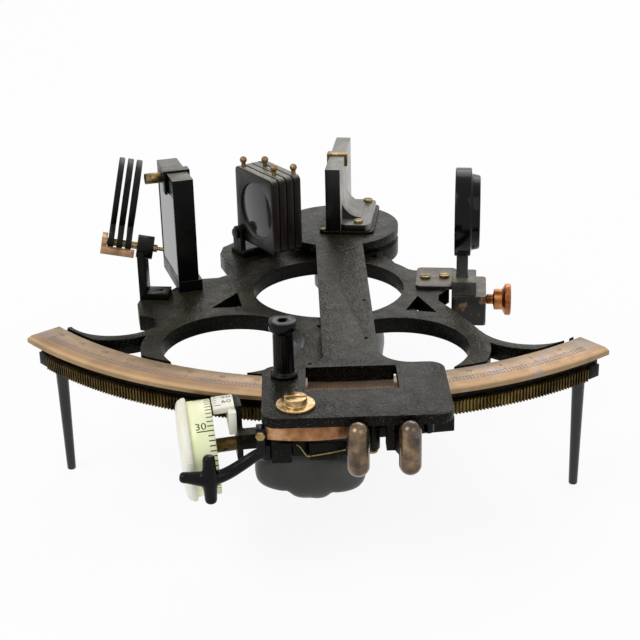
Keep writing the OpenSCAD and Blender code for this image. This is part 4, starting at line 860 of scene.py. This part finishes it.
# Handle: a moulded grip with soft grooves along it and a swell at its near end
def handle():
    centre_z = DECK_Z - HANDLE_DROP - HANDLE_H / 2
    sides, power = 144, 2 / 2.9
    groove_x, groove_w, groove_depth = 9.4, 1.8, 0.045
    crease_w, crease_depth, crease_end = 0.9, 0.02, -146
    belly_w, belly_depth, belly_from = 8.5, 3.4, 0.9
    # Each station is its y, its share of the full width and height, and how deep its lobes are
    stations = [(-158.0, 0.30, 0.2), (-157.9, 0.52, 0.5), (-157.4, 0.70, 1.1), (-156.4, 0.83, 1.5),
                (-154.8, 0.92, 1.7), (-152.5, 0.975, 1.6), (-149, 1.0, 1.3), (-140, 1.0, 0.9),
                (-120, 1.0, 0.6), (-95, 1.0, 0.5), (-70, 1.0, 0.6), (-45, 1.0, 0.8),
                (-26, 1.0, 0.9), (-21, 0.95, 0.9), (-18.8, 0.85, 0.9), (-18.0, 0.6, 0.8)]
    verts, faces = [], []
    for y, k, lobes in stations:
        wide = 0.5 + 0.5 * k if k > 0.5 else k * 1.5
        for i in range(sides):
            a = 2 * math.pi * i / sides
            c, s = math.cos(a), math.sin(a)
            x = HANDLE_W / 2 * math.copysign(abs(c) ** power, c)
            z = HANDLE_H / 2 * math.copysign(abs(s) ** power, s)
            groove = sum(math.exp(-((x - g) / groove_w) ** 2) for g in (-groove_x, groove_x))
            crease = math.exp(-(x / crease_w) ** 2) if y < crease_end else 0.0
            z *= 1 - groove_depth * lobes * groove - crease_depth * crease
            if s < 0:
                z -= math.exp(-(x / belly_w) ** 4) * max(0, lobes - belly_from) * belly_depth
            verts.append((HANDLE_X + x * wide, y, centre_z + z * k))
    for j in range(len(stations) - 1):
        faces += wall_faces(j * sides, (j + 1) * sides, sides)
    faces.append(list(range(sides))[::-1])
    faces.append(list(range((len(stations) - 1) * sides, len(stations) * sides)))
    me = mesh_from("handle_grip", verts, faces, smooth=60)
    new_object("handle_grip", me, M["grip"], "base", ("handle_body", "handle_cap"))


handle()


# Camera, floor, light and background
def make_camera():
    data = bpy.data.cameras.new("camera")
    data.lens = CAMERA_LENS
    data.sensor_width = 36
    data.shift_y = CAMERA_SHIFT
    data.clip_start = 0.01
    data.clip_end = 20
    cam = bpy.data.objects.new("camera", data)
    bpy.context.scene.collection.objects.link(cam)
    cam.location = CAMERA_AT
    cam.rotation_mode = "QUATERNION"
    roll = Quaternion((0, 0, 1), math.radians(CAMERA_ROLL))
    cam.rotation_quaternion = Vector(CAMERA_LOOK).to_track_quat("-Z", "Y") @ roll
    bpy.context.scene.camera = cam


def seen_rays(nodes, links):
    """One for rays from the camera and for reflected and transmitted rays, else nothing."""
    rays = nodes.new("ShaderNodeLightPath")
    seen = rays.outputs["Is Camera Ray"]
    for name in ("Is Glossy Ray", "Is Transmission Ray"):
        most = nodes.new("ShaderNodeMath")
        most.operation = "MAXIMUM"
        links.new(seen, most.inputs[0])
        links.new(rays.outputs[name], most.inputs[1])
        seen = most.outputs[0]
    return seen


def blended(nodes, links, fac, first, second, surface):
    mix = nodes.new("ShaderNodeMixShader")
    links.new(fac, mix.inputs["Fac"])
    links.new(first.outputs[0], mix.inputs[1])
    links.new(second.outputs[0], mix.inputs[2])
    links.new(mix.outputs[0], surface)


def make_floor():
    me = mesh_from("floor", *box(-3000, 3000, -3000, 3000, -2.0, -0.02))
    floor = bpy.data.objects.new("floor", me)
    bpy.context.scene.collection.objects.link(floor)
    mat = bpy.data.materials.new("floor")
    mat.use_nodes = True
    nodes, links = mat.node_tree.nodes, mat.node_tree.links
    plain = nodes["Principled BSDF"]
    plain.inputs["Base Color"].default_value = (FLOOR_GREY, FLOOR_GREY, FLOOR_GREY, 1)
    plain.inputs["Roughness"].default_value = 0.9
    white = nodes.new("ShaderNodeEmission")
    white.inputs["Strength"].default_value = 1.0
    share = nodes.new("ShaderNodeMath")
    share.operation = "MULTIPLY"
    share.inputs[1].default_value = FLOOR_WHITE_SHARE
    links.new(seen_rays(nodes, links), share.inputs[0])
    blended(nodes, links, share.outputs[0], plain, white, nodes["Material Output"].inputs["Surface"])
    me.materials.clear()
    me.materials.append(mat)


def make_world():
    world = bpy.data.worlds.new("world")
    bpy.context.scene.world = world
    world.use_nodes = True
    nodes, links = world.node_tree.nodes, world.node_tree.links
    soft = nodes["Background"]
    bright = nodes.new("ShaderNodeBackground")
    for back, strength in ((soft, SURROUND_LIGHT), (bright, 1.0)):
        back.inputs["Color"].default_value = (1, 1, 1, 1)
        back.inputs["Strength"].default_value = strength
    blended(nodes, links, seen_rays(nodes, links), soft, bright, nodes["World Output"].inputs["Surface"])


def make_lamps():
    for name, at, size, power in LAMPS:
        data = bpy.data.lights.new(name, "AREA")
        data.size = size
        data.energy = power
        lamp = bpy.data.objects.new(name, data)
        lamp.location = at
        lamp.rotation_mode = "QUATERNION"
        lamp.rotation_quaternion = (Vector(LAMP_AIM) - Vector(at)).to_track_quat("-Z", "Y")
        bpy.context.scene.collection.objects.link(lamp)


make_floor()
make_world()
make_lamps()
make_camera()
bpy.context.scene.view_settings.view_transform = "Standard"
